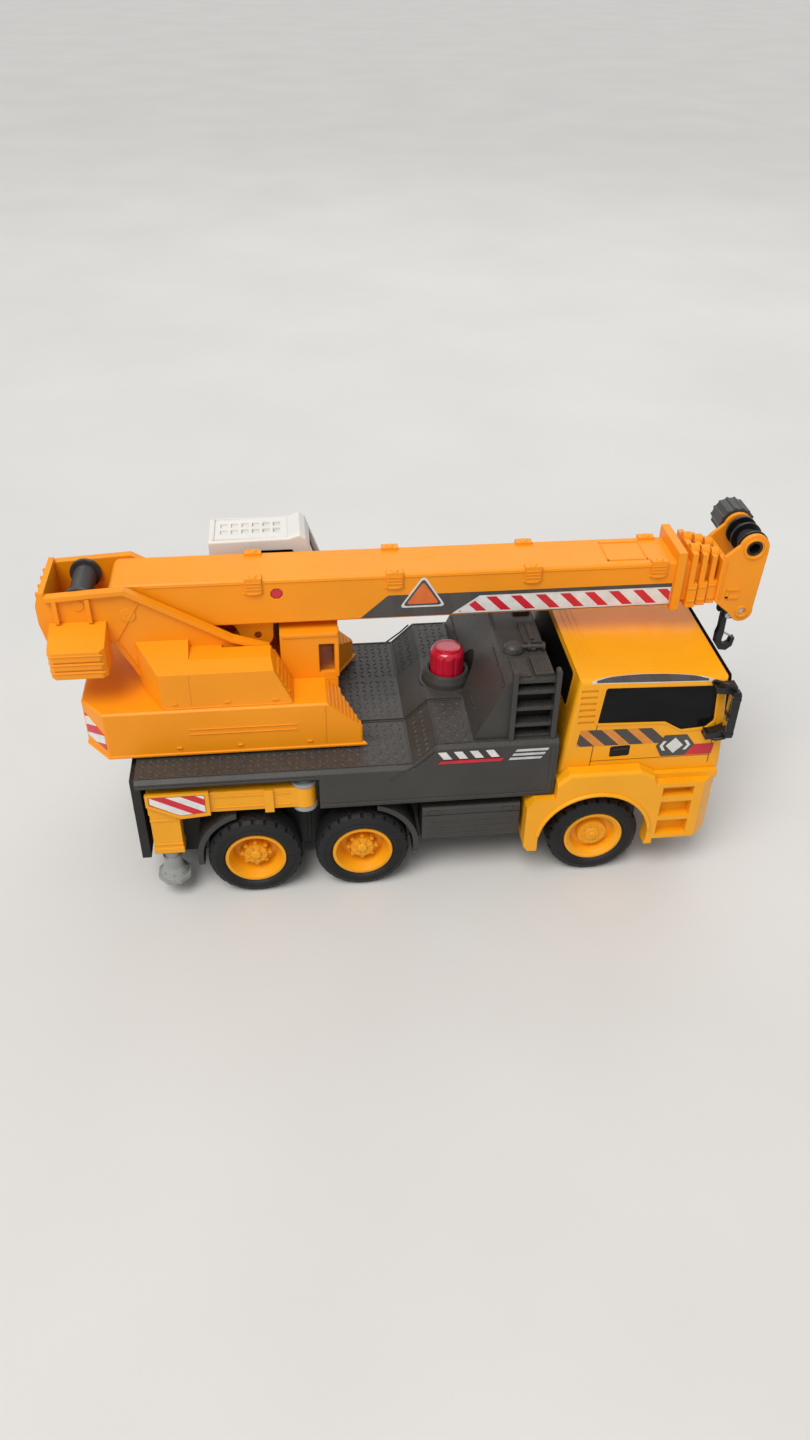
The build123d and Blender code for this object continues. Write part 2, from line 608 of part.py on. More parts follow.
def outrigger_foot(side):
    """Round stem on an eight-sided pad."""
    with BuildPart() as foot:
        with BuildSketch(Plane.XY.offset(9.6)) as pad:
            with Locations((LEG_X, side * LEG_Y)):
                RegularPolygon(7.8, 8, rotation=22.5)
        extrude(pad.sketch, amount=2.2)
        with BuildSketch(Plane.XY.offset(11.8)) as cone_low:
            with Locations((LEG_X, side * LEG_Y)):
                Circle(6.4)
        with BuildSketch(Plane.XY.offset(16.0)) as cone_high:
            with Locations((LEG_X, side * LEG_Y)):
                Circle(4.2)
        loft(cone_low.sketch + cone_high.sketch)
        upright_rod(LEG_X, side * LEG_Y, 4.2, (15.9, 22.0))
        upright_rod(LEG_X, side * LEG_Y, 3.3, (21.9, 44.0))
    return foot


for side_name, side_sign in (("right", -1), ("left", 1)):
    finish(outrigger_arm(side_sign), f"outrigger_arm_{side_name}")
    finish(outrigger_foot(side_sign), f"outrigger_foot_{side_name}")

with BuildPart() as outrigger_pins:
    for pin_y in (-OUTRIGGER_Y, OUTRIGGER_Y):
        upright_rod(OUTRIGGER_X, pin_y, 2.5, (47.6, SLAB_Z + 2))
        upright_rod(OUTRIGGER_X, pin_y, 5.6, (47.2, 49.0))
        upright_rod(OUTRIGGER_X, pin_y, 5.6, (60.4, 62.0))
finish(outrigger_pins, "outrigger_pins")


# ---------------------------------------------------------------- turntable
RAMP_TOP_X = -39.0
RETAINER_SCREWS = [
    (SLEW_X + 8.0 * cos(radians(turn)), 8.0 * sin(radians(turn))) for turn in (0, 120, 240)
]
BASE_PLAN = [
    (-133.0, -BASE_Y), (-143.0, -23.0), (-143.0, 23.0), (-133.0, BASE_Y), (-22.8, BASE_Y),
    (-33.0, 18.0), (-33.0, -18.0), (-22.8, -BASE_Y),
]

with BuildPart() as turntable_base:
    plan_prism(BASE_PLAN, BASE_Z, corner=1.2)
    chamfer(turntable_base.faces().sort_by(Axis.Z)[-1].edges(), 0.8)
    for low, high in ((-BASE_Y + WALL, -14.0), (14.0, BASE_Y - WALL)):
        block((-131.0, -42.0), (low, high), (BASE_Z[0] - 1, BASE_Z[1] - WALL), Mode.SUBTRACT)
    block((-139.0, -106.0), (-12.0, 12.0), (BASE_Z[0] - 1, BASE_Z[1] - WALL), Mode.SUBTRACT)
    block((-71.0, -36.0), (-12.0, 12.0), (BASE_Z[0] - 1, BASE_Z[1] - WALL), Mode.SUBTRACT)
    upright_rod(SLEW_X, 0, SPIGOT_R - RUN, (SLAB_Z - 0.2, BASE_Z[0] + 2))
    block((-104.0, -73.0), (-8.5, 8.5), (73.5, BASE_Z[1] + 1), Mode.SUBTRACT)
    upright_rod(SLEW_X, 0, 3.0, (SLAB_Z - 1, 75.0), Mode.SUBTRACT)
    cross_rod(BASE_PIN_X, BASE_PIN_Z, BASE_PIN_R, (-11.0, 11.0), Mode.SUBTRACT)
    for low, high in ((-BASE_Y - 1, -15.2), (15.2, BASE_Y + 1)):
        side_prism(
            [(RAMP_TOP_X, BASE_Z[1]), (RAMP_TOP_X, BASE_Z[1] + 1), (-20.0, BASE_Z[1] + 1),
             (-20.0, BASE_Z[1] + (RAMP_TOP_X + 20.0) * 0.9)],
            (low, high),
            Mode.SUBTRACT,
        )
    for screw_x, screw_y in RETAINER_SCREWS:
        upright_rod(screw_x, screw_y, 1.0, (SLAB_Z - 1, 72.0), Mode.SUBTRACT)
finish(turntable_base, "turntable_base")

with BuildPart() as turntable_retainer:
    upright_rod(SLEW_X, 0, 15.5, (63.0, SLAB_Z - 0.2))
    upright_rod(SLEW_X, 0, 5.0, (62.0, SLAB_Z), Mode.SUBTRACT)
    for screw_x, screw_y in RETAINER_SCREWS:
        upright_rod(screw_x, screw_y, 1.0, (62.0, SLAB_Z), Mode.SUBTRACT)
finish(turntable_retainer, "turntable_retainer")

with BuildPart() as turntable_screws:
    for screw_x, screw_y in RETAINER_SCREWS:
        upright_rod(screw_x, screw_y, 2.0, (61.8, 63.0))
        upright_rod(screw_x, screw_y, 1.0, (62.8, 71.5))
finish(turntable_screws, "turntable_screws")

with BuildPart() as engine_cover:
    plan_prism([(-118.0, -15.2), (-108.0, -33.5), (-52.8, -33.5), (-52.8, -15.2)], (BASE_Z[1], 118.0))
    side_prism(
        [(-119.0, BASE_Z[1]), (-119.0, 120.0), (-96.0, 120.0), (-95.5, 114.0), (-61.4, 114.0),
         (-52.8, BASE_Z[1])],
        (-36.0, -10.0),
        Mode.INTERSECT,
    )
    end_prism(
        [(-33.5, BASE_Z[1]), (-33.5, 111.7), (-15.2, 117.4), (-15.2, BASE_Z[1])],
        (-119.0, -52.0),
        Mode.INTERSECT,
    )
    plan_prism([(-113.5, -17.2), (-106.6, -31.5), (-64.0, -31.5), (-64.0, -17.2)],
               (BASE_Z[1] - 1, 109.5), Mode.SUBTRACT)
    block((-82.0, -52.0), (-17.4, -15.0), (110.4, 118.0), Mode.SUBTRACT)
finish(engine_cover, "engine_cover")

with BuildPart() as mast:
    for low, high in ((-MAST_Y[1], -MAST_Y[0]), MAST_Y):
        side_prism(
            [(-151.0, 117.5), (-151.0, 141.0), (-119.0, 143.0), (-77.0, 117.8), (-62.0, 112.6),
             (-59.0, BASE_Z[1]), (-116.0, BASE_Z[1]), (-121.0, 106.0), (-127.0, 117.5)],
            (low, high),
        )
    for low, high in ((-17.2, -MAST_Y[1] + 0.1), (MAST_Y[1] - 0.1, 16.8)):
        side_prism(
            [(-151.0, 138.8), (-151.0, 141.0), (-119.0, 143.0), (-77.0, 117.8), (-62.0, 112.6),
             (-62.0, 110.6), (-77.6, 115.8), (-119.6, 140.8)],
            (low, high),
        )
        for rib_x in (-148.2, -135.0):
            block((rib_x, rib_x + 1.8), (low, high), (128.5, 139.5))
    block((-151.5, -127.6), (-MAST_Y[0], MAST_Y[0]), (117.5, 119.3))
    side_prism(
        [(-151.0, 117.5), (-151.0, 142.4), (-153.4, 142.4), (-155.3, 136.5), (-155.3, 128.0),
         (-153.2, 117.5)],
        (-MAST_Y[1], MAST_Y[1]),
    )
    block((-116.4, -114.2), (-MAST_Y[0], MAST_Y[0]), (BASE_Z[1], 108.0))
    cross_rod(PIVOT_X, PIVOT_Z, PIVOT_R, (-20.0, 20.0), Mode.SUBTRACT)
    cross_rod(DRUM_X, DRUM_Z, 2.0 + RUN, (-14.9, 14.9), Mode.SUBTRACT)
finish(mast, "mast")

with BuildPart() as counterweights:
    end_prism([(-31.0, 110.5), (-31.0, 123.3), (-15.2, 128.4), (-15.2, 110.5)], (-151.0, -128.0))
    chamfer(counterweights.edges().filter_by(Axis.Z).group_by(Axis.Y)[0], 2.0)
    for groove_z in (114.0, 118.0):
        block((-152.0, -127.0), (-32.0, -30.4), (groove_z, groove_z + 0.7), Mode.SUBTRACT)
    mirror(about=Plane.XZ)
finish(counterweights, "counterweights")

with BuildPart() as boom_cradle:
    block((-57.5, -32.4), (-15.0, 15.0), (BASE_Z[1], 117.4))
    block((-58.5, -34.4), (-13.0, 13.0), (BASE_Z[1] - 1, 115.4), Mode.SUBTRACT)
    for window_y in ((-16.0, -12.0), (12.0, 16.0)):
        block((-41.0, -34.2), window_y, (97.0, 111.5), Mode.SUBTRACT)
    block((-57.5, -55.7), (14.9, 16.6), (BASE_Z[1], 112.0))
finish(boom_cradle, "boom_cradle")

CABIN_X = (-86.0, -46.5)
CABIN_Y = (17.2, 39.5)
CABIN_Z = 145.4

with BuildPart() as operator_cabin:
    side_prism(
        [(CABIN_X[0], BASE_Z[1]), (CABIN_X[0], CABIN_Z), (CABIN_X[1] - 5, CABIN_Z + 0.6),
         (CABIN_X[1], CABIN_Z + 2.4), (CABIN_X[1] + 2.4, CABIN_Z + 0.6), (-37.0, 126.0),
         (-38.0, BASE_Z[1])],
        CABIN_Y,
    )
    roof_edges = operator_cabin.faces().filter_by(Axis.Y).sort_by(Axis.Y)
    fillet(
        (roof_edges[0].edges() + roof_edges[-1].edges()).filter_by(
            lambda edge: edge.center().Z > CABIN_Z - 1
        ),
        1.0,
    )
    side_prism(
        [(CABIN_X[0] + 1.6, BASE_Z[1] - 1), (CABIN_X[0] + 1.6, CABIN_Z - 2), (-45.5, CABIN_Z - 2),
         (-38.8, 125.6), (-39.8, BASE_Z[1] - 1)],
        (CABIN_Y[0] + 1.6, CABIN_Y[1] - 1.6),
        Mode.SUBTRACT,
    )
    for window_y in ((CABIN_Y[0] - 1, CABIN_Y[0] + 3), (CABIN_Y[1] - 3, CABIN_Y[1] + 1)):
        side_prism([(-70.0, 116.0), (-70.0, 140.5), (-50.0, 140.5), (-42.0, 122.0), (-42.0, 116.0)],
                   window_y, Mode.SUBTRACT, corner=1.0)
    block((-46.0, -34.0), (CABIN_Y[0] + 3, CABIN_Y[1] - 3), (116.0, 141.0), Mode.SUBTRACT)
    for row in range(2):
        for column in range(6):
            slot_x = -81.0 + 4.6 * column
            slot_y = 24.0 + 6.0 * row
            block((slot_x, slot_x + 3.0), (slot_y, slot_y + 3.6), (CABIN_Z - 0.6, CABIN_Z + 3), Mode.SUBTRACT)
finish(operator_cabin, "operator_cabin")

with BuildPart() as cabin_windows:
    side_prism(
        [(-74.0, 114.5), (-74.0, 142.0), (-48.6, 142.0), (-41.2, 124.0), (-41.2, 114.5)],
        (CABIN_Y[0] + 1.7, CABIN_Y[1] - 1.7),
    )
    side_prism(
        [(-75.0, 113.0), (-75.0, 143.0), (-50.6, 143.0), (-43.0, 124.0), (-43.0, 113.0)],
        (CABIN_Y[0] + 2.9, CABIN_Y[1] - 2.9),
        Mode.SUBTRACT,
    )
finish(cabin_windows, "cabin_windows")

with BuildPart() as turntable_pins:
    cross_rod(PIVOT_X, PIVOT_Z, PIVOT_R, (-15.2, 15.2))
    cross_rod(BASE_PIN_X, BASE_PIN_Z, BASE_PIN_R, (-11.0, 11.0))
finish(turntable_pins, "turntable_pins")

with BuildPart() as winch_drum:
    cross_rod(DRUM_X, DRUM_Z, 4.2, (-11.4, 11.4))
    for turn in range(22):
        rope_y = -11.0 + turn
        with BuildSketch(Plane(origin=(DRUM_X, rope_y, DRUM_Z), x_dir=(1, 0, 0), z_dir=(0, 0, 1))):
            with Locations((4.3, 0)):
                Circle(0.48)
        revolve(axis=Axis((DRUM_X, rope_y, DRUM_Z), (0, 1, 0)))
    for low, high in ((-12.8, -11.3), (11.3, 12.8)):
        cross_rod(DRUM_X, DRUM_Z, 6.6, (low, high))
    cross_rod(DRUM_X, DRUM_Z, 2.0, (-14.6, 14.6))
finish(winch_drum, "winch_drum")


# ---------------------------------------------------------------- boom lift cylinder
def along_lift(distance):
    """A plane across the lift cylinder, at a distance from its base pin."""
    tilt = radians(LIFT_TILT)
    along = (cos(tilt), 0, sin(tilt))
    centre = (BASE_PIN_X + distance * along[0], 0, BASE_PIN_Z + distance * along[2])
    return Plane(origin=centre, x_dir=(0, 1, 0), z_dir=along)


with BuildPart() as lift_cylinder:
    cross_rod(BASE_PIN_X, BASE_PIN_Z, 5.4, (-7.6, 7.6))
    with BuildSketch(along_lift(0)):
        Circle(5.4)
    extrude(amount=40.2)
    with BuildSketch(along_lift(37.4)):
        Circle(5.9)
    extrude(amount=2.8)
    with BuildSketch(along_lift(4.6)):
        Circle(3.0 + RUN)
    extrude(amount=37, mode=Mode.SUBTRACT)
    cross_rod(BASE_PIN_X, BASE_PIN_Z, BASE_PIN_R + RUN, (-9.0, 9.0), Mode.SUBTRACT)
finish(lift_cylinder, "lift_cylinder")

with BuildPart() as lift_rod:
    with BuildSketch(along_lift(5.0)):
        Circle(3.0)
    extrude(amount=LIFT_LENGTH - 5.0)
    cross_rod(LUG_X, LUG_Z, 4.2, (-5.9, 5.9))
    cross_rod(LUG_X, LUG_Z, LIFT_PIN_R + 0.9, (-7.0, 7.0), Mode.SUBTRACT)
finish(lift_rod, "lift_rod")


# ---------------------------------------------------------------- telescopic boom
with BuildPart() as boom_outer:
    with BuildSketch(Plane.XZ.offset(-BOOM_Y)) as boom_side:
        with Locations(((BOOM_X[0] + BOOM_X[1]) / 2, BOOM_Z)):
            Rectangle(BOOM_X[1] - BOOM_X[0], 2 * BOOM_HALF_Z)
        fillet(boom_side.vertices().group_by(Axis.X)[0], 4.0)
    extrude(amount=2 * BOOM_Y)
    chamfer(
        boom_outer.edges().filter_by(Axis.X).filter_by(lambda edge: edge.length > 100),
        0.7,
    )
    square_tube((-109.0, 130.0), BOOM_Y - BOOM_WALL, BOOM_HALF_Z - BOOM_WALL, Mode.SUBTRACT)
    block((BOOM_X[1] - 0.2, 117.0), (-13.6, 13.6), (119.6, 147.6))
    square_tube((109.0, 118.0), BOOM_Y - BOOM_WALL, BOOM_HALF_Z - BOOM_WALL, Mode.SUBTRACT)
    for band_x in (-67.0, -8.0, 51.0, 106.0):
        for band_y in ((-12.9, -9.0), (9.0, 12.9)):
            block((band_x - 3.6, band_x + 3.6), band_y, (136.6, 143.6))
    square_tube((-109.0, 118.0), BOOM_Y - BOOM_WALL, BOOM_HALF_Z - BOOM_WALL, Mode.SUBTRACT)
    with BuildSketch(Plane.XZ.offset(BOOM_Y - 2.4)) as sight_hole:
        with Locations((-57.5, 135.6)):
            RegularPolygon(2.7, 8, rotation=22.5)
    extrude(sight_hole.sketch, amount=4.0, mode=Mode.SUBTRACT)
    for low, high in ((-8.2, -6.2), (6.2, 8.2)):
        cross_rod(LUG_X, LUG_Z, 6.6, (low, high))
        side_prism([(LUG_X - 11.5, 121.6), (LUG_X - 6.4, LUG_Z - 1.6), (LUG_X + 6.4, LUG_Z - 1.6),
                    (LUG_X + 7.0, 121.6)], (low, high))
    cross_rod(LUG_X, LUG_Z, LIFT_PIN_R, (-9.0, 9.0), Mode.SUBTRACT)
    for low, high in ((-13.1, -BOOM_Y + 0.1), (BOOM_Y - 0.1, 13.1)):
        cross_rod(PIVOT_X, PIVOT_Z, 5.0, (low, high))
    cross_rod(PIVOT_X, PIVOT_Z, PIVOT_R + RUN, (-15.0, 15.0), Mode.SUBTRACT)
finish(boom_outer, "boom_outer")

with BuildPart() as boom_lug_pin:
    cross_rod(LUG_X, LUG_Z, LIFT_PIN_R, (-8.2, 8.2))
finish(boom_lug_pin, "boom_lug_pin")


def boom_section(rear_x, y_half, z_half, collar_x, collar_y, collar_z, wall):
    """One inner section of the boom: a square tube with a stop collar at its front."""
    with BuildPart() as section:
        square_tube((rear_x, collar_x[0] + 0.5), y_half, z_half)
        block(collar_x, (-collar_y, collar_y), collar_z)
        block(
            (collar_x[0], collar_x[1] + 1.7),
            (-collar_y - 0.4, collar_y + 0.4),
            (collar_z[0], BOOM_Z - 0.5),
        )
        square_tube((rear_x + 2, collar_x[1] + 3), y_half - wall, z_half - wall, Mode.SUBTRACT)
    return section


finish(
    boom_section(-107.0, *SECTION_TWO, (120.4, 122.9), 11.6, (119.6, 145.8), BOOM_WALL),
    "boom_section_two",
)
finish(
    boom_section(-103.0, *SECTION_THREE, (125.4, 127.8), 10.6, (119.9, 144.7), BOOM_WALL),
    "boom_section_three",
)
finish(
    boom_section(-99.0, *SECTION_FOUR, (130.2, 132.4), 9.6, (120.2, 143.2), BOOM_WALL),
    "boom_section_four",
)


# ---------------------------------------------------------------- boom head, winch and hook
with BuildPart() as jib_head:
    for low, high in ((-HEAD_Y[1], -HEAD_Y[0]), HEAD_Y):
        with BuildSketch(Plane.XZ.offset(-high)) as cheek:
            with BuildLine():
                Polyline((135.0, 143.0), (134.2, 121.4), (146.6, 111.2), (149.6, 111.2),
                         (152.2, 113.6), (153.8, 146.0), (149.0, 152.6), (145.6, 152.6), close=True)
            make_face()
            fillet(cheek.vertices(), 1.2)
        extrude(cheek.sketch, amount=high - low)
        cross_rod(SPOOL_X, SPOOL_Z, 6.4, (low, high))
        cross_rod(GUIDE_X, GUIDE_Z, 5.0, (low, high))
    block((134.1, 136.6), (-HEAD_Y[1], HEAD_Y[1]), (121.6, 142.2))
    cross_rod(SPOOL_X, SPOOL_Z, SHAFT_R + RUN, (-20.0, 20.0), Mode.SUBTRACT)
    cross_rod(GUIDE_X, GUIDE_Z, GUIDE_R, (-20.0, 20.0), Mode.SUBTRACT)
finish(jib_head, "jib_head")

with BuildPart() as line_guide_pin:
    cross_rod(GUIDE_X, GUIDE_Z, GUIDE_R, (-10.6, 10.6))
finish(line_guide_pin, "line_guide_pin")

with BuildPart() as hook_spool:
    cross_rod(SPOOL_X, SPOOL_Z, SPOOL_R, (-8.4, 8.4))
    for low, high in ((-8.6, -7.4), (-0.6, 0.6), (5.2, 6.4)):
        cross_rod(SPOOL_X, SPOOL_Z, 6.8, (low, high))
    cross_rod(SPOOL_X, SPOOL_Z, SHAFT_R, (-11.0, 12.0))
    cross_rod(SPOOL_X, SPOOL_Z, 2.4, (-12.0, -6.0), Mode.SUBTRACT)
finish(hook_spool, "hook_spool")

KNOB_RIBS = 14

with BuildPart() as winch_knob:
    cross_rod(SPOOL_X, SPOOL_Z, 7.4, (12.0, 24.0))
    knob_plane = Plane(origin=(SPOOL_X, 18.0, SPOOL_Z), x_dir=(1, 0, 0), z_dir=(0, 1, 0))
    with Locations(knob_plane):
        with PolarLocations(7.2, KNOB_RIBS):
            Cylinder(0.8, 12.0)
    fillet(winch_knob.faces().sort_by(Axis.Y)[-1].edges().filter_by(GeomType.CIRCLE), 0.6)
finish(winch_knob, "winch_knob")

with BuildPart() as hoist_cord_upper:
    with BuildLine():
        Line((SPOOL_X - SPOOL_R - CORD_R, -3.4, SPOOL_Z), (CORD_X - 0.05, -3.4, GUIDE_Z + 0.1))
    with BuildSketch(Plane.XY.offset(SPOOL_Z)):
        with Locations((SPOOL_X - SPOOL_R - CORD_R, -3.4)):
            Circle(CORD_R)
    sweep()
finish(hoist_cord_upper, "hoist_cord_upper")

with BuildPart() as guide_roller:
    cross_rod(GUIDE_X, GUIDE_Z, ROLLER_R, (-8.9, 8.9))
    cross_rod(GUIDE_X, GUIDE_Z, GUIDE_R + RUN, (-10.0, 10.0), Mode.SUBTRACT)
finish(guide_roller, "guide_roller")

with BuildPart() as hoist_cord:
    upright_rod(CORD_X, -3.4, CORD_R, (HOOK_Z + 3.4, GUIDE_Z))
finish(hoist_cord, "hoist_cord")

with BuildPart() as hook_block:
    block((CORD_X - 2.1, CORD_X + 2.1), (-4.6, 4.6), (HOOK_Z - 1.8, HOOK_Z + 3.4))
    block((CORD_X - 3.0, CORD_X + 3.0), (-1.8, 1.8), (HOOK_Z - 3.0, HOOK_Z + 2.2), Mode.SUBTRACT)
    cross_rod(CORD_X, HOOK_Z, 0.8, (-2.4, 2.4))
finish(hook_block, "hook_block")

with BuildPart() as hook:
    with BuildSketch(Plane.XZ.offset(-1.5)) as hook_side:
        with BuildLine():
            Polyline(
                (CORD_X - 1.3, HOOK_Z), (CORD_X - 1.3, HOOK_Z - 9.0), (CORD_X - 2.0, HOOK_Z - 12.0),
                (CORD_X - 2.0, HOOK_Z - 17.0), (CORD_X + 0.4, HOOK_Z - 20.6),
                (CORD_X + 4.0, HOOK_Z - 21.2), (CORD_X + 6.6, HOOK_Z - 19.0),
                (CORD_X + 7.2, HOOK_Z - 14.6), (CORD_X + 5.4, HOOK_Z - 14.6),
                (CORD_X + 4.8, HOOK_Z - 17.2), (CORD_X + 3.4, HOOK_Z - 18.2),
                (CORD_X + 1.6, HOOK_Z - 17.4), (CORD_X + 1.0, HOOK_Z - 15.6),
                (CORD_X + 1.4, HOOK_Z - 12.0), (CORD_X + 1.3, HOOK_Z), close=True,
            )
        make_face()
        with Locations((CORD_X, HOOK_Z)):
            Circle(1.9)
            Circle(0.8 + RUN, mode=Mode.SUBTRACT)
    extrude(hook_side.sketch, amount=3.0)
finish(hook, "hook")
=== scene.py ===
import bmesh
import bpy
import math
import random
from mathutils import Matrix, Vector


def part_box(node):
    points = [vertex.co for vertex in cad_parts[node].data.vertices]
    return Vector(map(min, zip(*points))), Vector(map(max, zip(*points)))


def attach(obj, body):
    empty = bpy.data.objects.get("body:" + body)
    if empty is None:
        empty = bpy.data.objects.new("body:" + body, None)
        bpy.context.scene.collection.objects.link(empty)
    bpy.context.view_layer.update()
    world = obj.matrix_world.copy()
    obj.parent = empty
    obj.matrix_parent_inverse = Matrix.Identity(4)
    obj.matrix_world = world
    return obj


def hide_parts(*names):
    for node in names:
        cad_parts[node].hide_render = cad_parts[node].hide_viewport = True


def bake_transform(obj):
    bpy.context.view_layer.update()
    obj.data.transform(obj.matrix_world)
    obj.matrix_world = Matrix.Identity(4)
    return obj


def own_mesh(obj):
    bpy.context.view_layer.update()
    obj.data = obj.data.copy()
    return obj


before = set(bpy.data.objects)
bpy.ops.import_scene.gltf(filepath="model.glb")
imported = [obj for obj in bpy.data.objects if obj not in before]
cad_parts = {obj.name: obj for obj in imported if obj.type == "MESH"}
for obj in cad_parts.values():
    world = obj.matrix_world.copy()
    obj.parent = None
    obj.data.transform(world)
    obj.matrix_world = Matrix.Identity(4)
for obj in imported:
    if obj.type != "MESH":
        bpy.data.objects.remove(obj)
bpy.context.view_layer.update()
MM = 0.001
dice = random.Random(11)


def lo_hi(node):
    """A node's corners in millimetres."""
    low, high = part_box(node)
    return [c * 1000 for c in low], [c * 1000 for c in high]


# ------------------------------------------------------------------ materials
def node(tree, kind, **inputs):
    made = tree.nodes.new(kind)
    for key, value in inputs.items():
        made.inputs[key.replace("_", " ")].default_value = value
    return made


def noise(tree, scale, detail=2.0, stretch=None, rough=0.5):
    coords = tree.nodes.new("ShaderNodeTexCoord")
    made = node(tree, "ShaderNodeTexNoise", Scale=scale, Detail=detail, Roughness=rough)
    source = coords.outputs["Object"]
    if stretch:
        mapping = tree.nodes.new("ShaderNodeMapping")
        mapping.inputs["Scale"].default_value = stretch
        tree.links.new(source, mapping.inputs["Vector"])
        source = mapping.outputs["Vector"]
    tree.links.new(source, made.inputs["Vector"])
    return made.outputs["Fac"]


def ramp(tree, source, stops):
    made = tree.nodes.new("ShaderNodeValToRGB")
    elements = made.color_ramp.elements
    while len(elements) < len(stops):
        elements.new(0.5)
    for element, (place, colour) in zip(elements, stops):
        element.position = place
        element.color = (*colour, 1.0) if len(colour) == 3 else colour
    tree.links.new(source, made.inputs["Fac"])
    return made.outputs["Color"]


def grey(value):
    return (value, value, value)


def maths(tree, operation, a, b=None):
    made = tree.nodes.new("ShaderNodeMath")
    made.operation = operation
    for slot, value in enumerate((a, b)):
        if value is None:
            continue
        if isinstance(value, (int, float)):
            made.inputs[slot].default_value = value
        else:
            tree.links.new(value, made.inputs[slot])
    return made.outputs["Value"]


def mixed(tree, factor, a, b, mode="MIX"):
    made = tree.nodes.new("ShaderNodeMix")
    made.data_type = "RGBA"
    made.blend_type = mode
    if isinstance(factor, (int, float)):
        made.inputs[0].default_value = factor
    else:
        tree.links.new(factor, made.inputs[0])
    for slot, value in ((6, a), (7, b)):
        if isinstance(value, (tuple, list)):
            made.inputs[slot].default_value = (*value[:3], 1.0)
        else:
            tree.links.new(value, made.inputs[slot])
    return made.outputs[2]


def edge_mask(tree, radius):
    """The rounded normal, and a mask that is 1 along sharp outer edges."""
    bevel = tree.nodes.new("ShaderNodeBevel")
    bevel.samples = 4
    bevel.inputs["Radius"].default_value = radius
    geometry = tree.nodes.new("ShaderNodeNewGeometry")
    dot = tree.nodes.new("ShaderNodeVectorMath")
    dot.operation = "DOT_PRODUCT"
    tree.links.new(bevel.outputs["Normal"], dot.inputs[0])
    tree.links.new(geometry.outputs["Normal"], dot.inputs[1])
    mask = ramp(tree, dot.outputs["Value"], [(0.72, grey(1.0)), (0.985, grey(0.0))])
    return bevel.outputs["Normal"], mask


def plastic(name, colour, rough=0.34, mottle=0.07, grain=0.05, wear=0.18, dust=0.0, glow=0.0,
            edge=0.0005, coat=0.0):
    """Moulded plastic: cloudy colour, fine grain, flow marks, scuffs and lighter edges."""
    made = bpy.data.materials.new(name)
    made.use_nodes = True
    tree = made.node_tree
    shader = tree.nodes["Principled BSDF"]
    dark = tuple(c * (1 - mottle) for c in colour)
    light = tuple(min(1.0, c * (1 + mottle) + 0.002) for c in colour)
    base = ramp(tree, noise(tree, 28.0, 3.0), [(0.3, dark), (0.7, light)])
    flow = noise(tree, 60.0, 2.0, (1.0, 1.0, 9.0))
    base = mixed(tree, 0.1, base, ramp(tree, flow, [(0.35, dark), (0.65, light)]), "OVERLAY")
    normal, mask = edge_mask(tree, edge)
    broken = ramp(tree, noise(tree, 520.0, 3.0), [(0.42, grey(0.0)), (0.62, grey(1.0))])
    worn = maths(tree, "MULTIPLY", mask, maths(tree, "MULTIPLY", broken, wear))
    pale = tuple(min(1.0, c * 1.25 + 0.08) for c in colour)
    base = mixed(tree, worn, base, pale)
    scuff = ramp(tree, noise(tree, 260.0, 4.0, (0.25, 1.0, 3.0)), [(0.60, grey(0.0)), (0.72, grey(1.0))])
    if dust:
        facing = tree.nodes.new("ShaderNodeNewGeometry")
        split = tree.nodes.new("ShaderNodeSeparateXYZ")
        tree.links.new(facing.outputs["Normal"], split.inputs[0])
        up = ramp(tree, split.outputs["Z"], [(0.35, grey(0.0)), (1.0, grey(1.0))])
        specks = ramp(tree, noise(tree, 900.0, 4.0), [(0.45, grey(0.15)), (0.7, grey(1.0))])
        settled = maths(tree, "MULTIPLY", up, maths(tree, "MULTIPLY", specks, dust))
        base = mixed(tree, settled, base, (0.42, 0.40, 0.37))
    tree.links.new(base, shader.inputs["Base Color"])
    roughness = maths(tree, "ADD", maths(tree, "MULTIPLY", noise(tree, 75.0, 3.0), 0.14), rough - 0.07)
    roughness = maths(tree, "ADD", roughness, maths(tree, "MULTIPLY", scuff, 0.16))
    tree.links.new(roughness, shader.inputs["Roughness"])
    bump = tree.nodes.new("ShaderNodeBump")
    bump.inputs["Strength"].default_value = grain
    bump.inputs["Distance"].default_value = 0.0004
    height = maths(tree, "ADD", noise(tree, 1500.0, 2.0), maths(tree, "MULTIPLY", noise(tree, 55.0, 2.0), 1.6))
    tree.links.new(height, bump.inputs["Height"])
    tree.links.new(normal, bump.inputs["Normal"])
    tree.links.new(bump.outputs["Normal"], shader.inputs["Normal"])
    shader.inputs["Specular IOR Level"].default_value = 0.36
    if coat:
        shader.inputs["Coat Weight"].default_value = coat
        shader.inputs["Coat Roughness"].default_value = 0.12
    if glow:
        shader.inputs["Subsurface Weight"].default_value = glow
        shader.inputs["Subsurface Radius"].default_value = (1.0, 0.35, 0.1)
        shader.inputs["Subsurface Scale"].default_value = 0.002
    return made


